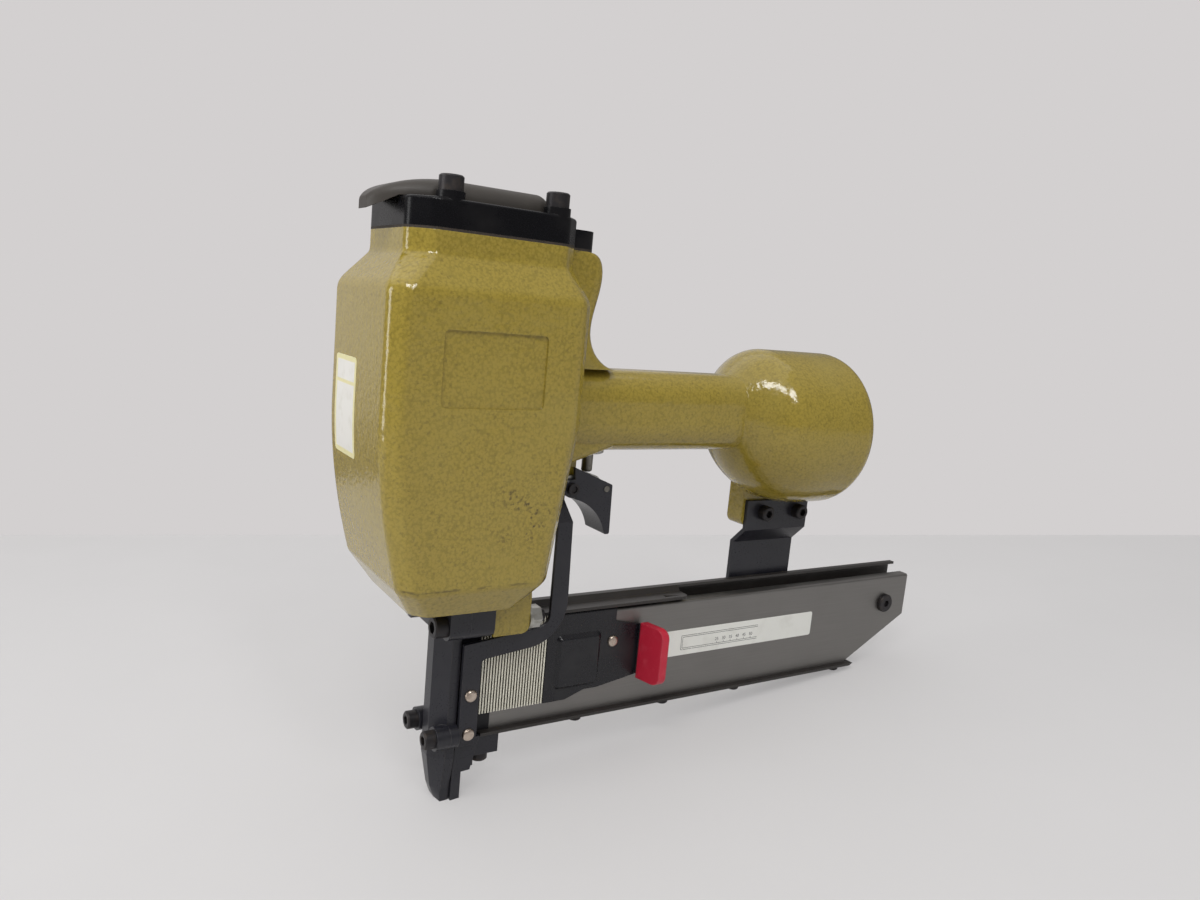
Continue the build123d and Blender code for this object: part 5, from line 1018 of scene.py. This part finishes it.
@dataclass
class AirEnd(Assembly):
    """Cover of the air chamber in the end bulb."""

    coats: dict[str, Coat] = field(default_factory=lambda: {
        "end_cap": Coat.ALUMINIUM, "end_cap_seal": Coat.RUBBER, "retaining_ring": Coat.SPRING})


@dataclass(frozen=True)
class Lamp:
    """A soft lamp: place and size in metres, power in watts."""

    name: str
    place: Point
    size: Band
    power: float


@dataclass
class Studio:
    """Pale table, soft lamps and the camera."""

    table_edge: tuple[Point, Point] = ((-0.186, 0.578, -0.0175), (0.777, 0.027, 0.0734))
    table_slope: float = 0.0942
    table_size: Band = (8.0, 5.0)
    table_colour: Colour = tone(211, 209, 209)
    table_glow: float = 0.45
    room_colour: Colour = tone(211, 208, 208)
    room_light: float = 0.5
    room_depth: float = 0.65
    back_band: Band = (0.93, 0.8)
    ceiling_band: Band = (0.45, 0.9)
    ceiling_share: float = 0.6
    lamps: tuple[Lamp, ...] = (
        Lamp("window", (-0.47, -0.46, 1.04), (0.62, 0.17), 4.4),
        Lamp("side_window", (-0.05, -0.84, 0.98), (0.16, 0.38), 2.6),
        Lamp("left_lamp", (-1.15, 0.2, 0.35), (0.35, 0.8), 4.5),
        Lamp("top_lamp", (-0.1, 0.3, 1.4), (1.8, 1.8), 6.0))
    middle: Point = (0.11, 0.0, 0.14)
    camera_place: Point = (-0.1646, -0.3664, 0.2333)
    camera_right: Point = (0.844, -0.529, 0.092)
    camera_up: Point = (0.006, 0.180, 0.984)
    camera_back: Point = (-0.537, -0.829, 0.155)
    lens: float = 27.0
    sensor: float = 36.0
    clip_start: float = 0.01

    def table(self) -> None:
        """Lay the table under the nose tip and the rail's bolts."""
        Bench.clear()
        first, last = (Vector(corner) for corner in self.table_edge)
        along = (last - first).normalized()
        normal = Vector((-self.table_slope, 0, 1)).normalized()
        inward = along.cross(normal)
        turn = Matrix((along, -inward, normal)).transposed().to_4x4()
        bpy.ops.mesh.primitive_plane_add(size=1)
        table = bpy.context.object
        table.name = "table"
        width, depth = self.table_size
        centre = Matrix.Translation((first + last) / 2 + inward * (depth / 2))
        table.data.transform(centre @ turn @ Matrix.Diagonal((width, depth, 1, 1)))
        shop = PaintShop("table_top")
        mottle = shop.noise(60, 4)
        pale = tuple(part * 0.97 for part in self.table_colour)
        colour = shop.tint(mottle, self.table_colour, pale)
        board = shop.node("ShaderNodeBsdfPrincipled", None,
                          {"Base Color": colour, "Roughness": 0.6 + mottle * 0.1})
        glow = shop.node("ShaderNodeEmission", None, {"Color": colour, "Strength": 1.0})
        seen = shop.seen() * self.table_glow
        top = shop.node("ShaderNodeMixShader", None,
                        {0: seen, 1: shop.out(board), 2: shop.out(glow)})
        shop.node("ShaderNodeOutputMaterial", None, {"Surface": shop.out(top)})
        table.data.materials.append(shop.material)

    def hang(self, lamp: Lamp) -> None:
        """Hang one lamp, turned to the middle of the stapler.

        Args:
            lamp: The lamp to hang.
        """
        Bench.clear()
        aim = Vector(self.middle) - Vector(lamp.place)
        turn = aim.to_track_quat("-Z", "Y").to_euler()
        bpy.ops.object.light_add(type="AREA", location=lamp.place, rotation=turn)
        light = bpy.context.object
        light.name = lamp.name
        light.data.shape = "RECTANGLE"
        light.data.size, light.data.size_y = lamp.size
        light.data.energy = lamp.power

    def room(self) -> None:
        """Even room light, with a pale wall where the camera or a gloss sees it."""
        world = bpy.data.worlds.new("room")
        world.use_nodes = True
        bpy.context.scene.world = world
        shop = NodeShop(world.node_tree)
        gloss = shop.out(shop.node("ShaderNodeLightPath"), "Is Glossy Ray")
        view = shop.out(shop.node("ShaderNodeTexCoord"), "Generated")
        way = shop.node("ShaderNodeSeparateXYZ", None, {0: view})
        back = shop.step(shop.out(way, 1) + shop.out(way, 2) * 0.5, *self.back_band)
        ceiling = self.ceiling_share * shop.step(shop.out(way, 2), *self.ceiling_band)
        depth = self.room_depth * back * (1 - ceiling)
        light = shop.node("ShaderNodeBackground", None,
                          {"Color": (1, 1, 1, 1), "Strength": self.room_light})
        wall = shop.node("ShaderNodeBackground", None,
                         {"Color": (*self.room_colour, 1), "Strength": 1 - gloss * depth})
        both = shop.node("ShaderNodeMixShader", None,
                         {0: shop.seen(), 1: shop.out(light), 2: shop.out(wall)})
        shop.node("ShaderNodeOutputWorld", None, {"Surface": shop.out(both)})

    def camera(self) -> None:
        """Set the camera where the picture was taken."""
        Bench.clear()
        bpy.ops.object.camera_add()
        camera = bpy.context.object
        axes = Matrix((self.camera_right, self.camera_up, self.camera_back)).transposed()
        camera.matrix_world = Matrix.Translation(self.camera_place) @ axes.to_4x4()
        camera.data.lens = self.lens
        camera.data.sensor_width = self.sensor
        camera.data.clip_start = self.clip_start
        bpy.context.scene.camera = camera

    def build(self) -> None:
        """Set up the table, the light and the camera."""
        self.table()
        for lamp in self.lamps:
            self.hang(lamp)
        self.room()
        self.camera()
        bpy.context.scene.view_settings.view_transform = "Standard"


def main() -> None:
    """Build, dress and light the stapler."""
    logging.basicConfig(level=logging.INFO, format="%(name)s: %(message)s")
    groups = (PowerHead(), TriggerGroup(), Nose(), Magazine(), StapleStrip(), Springs(), AirEnd())
    for group in groups:
        for piece in group.build():
            LOG.info("%s made with %d faces", piece.name, len(piece.data.polygons))
        group.dress()
        LOG.info("%s dressed", type(group).__name__)
    Bench.clear()
    Studio().build()


if __name__ == "__main__":
    main()
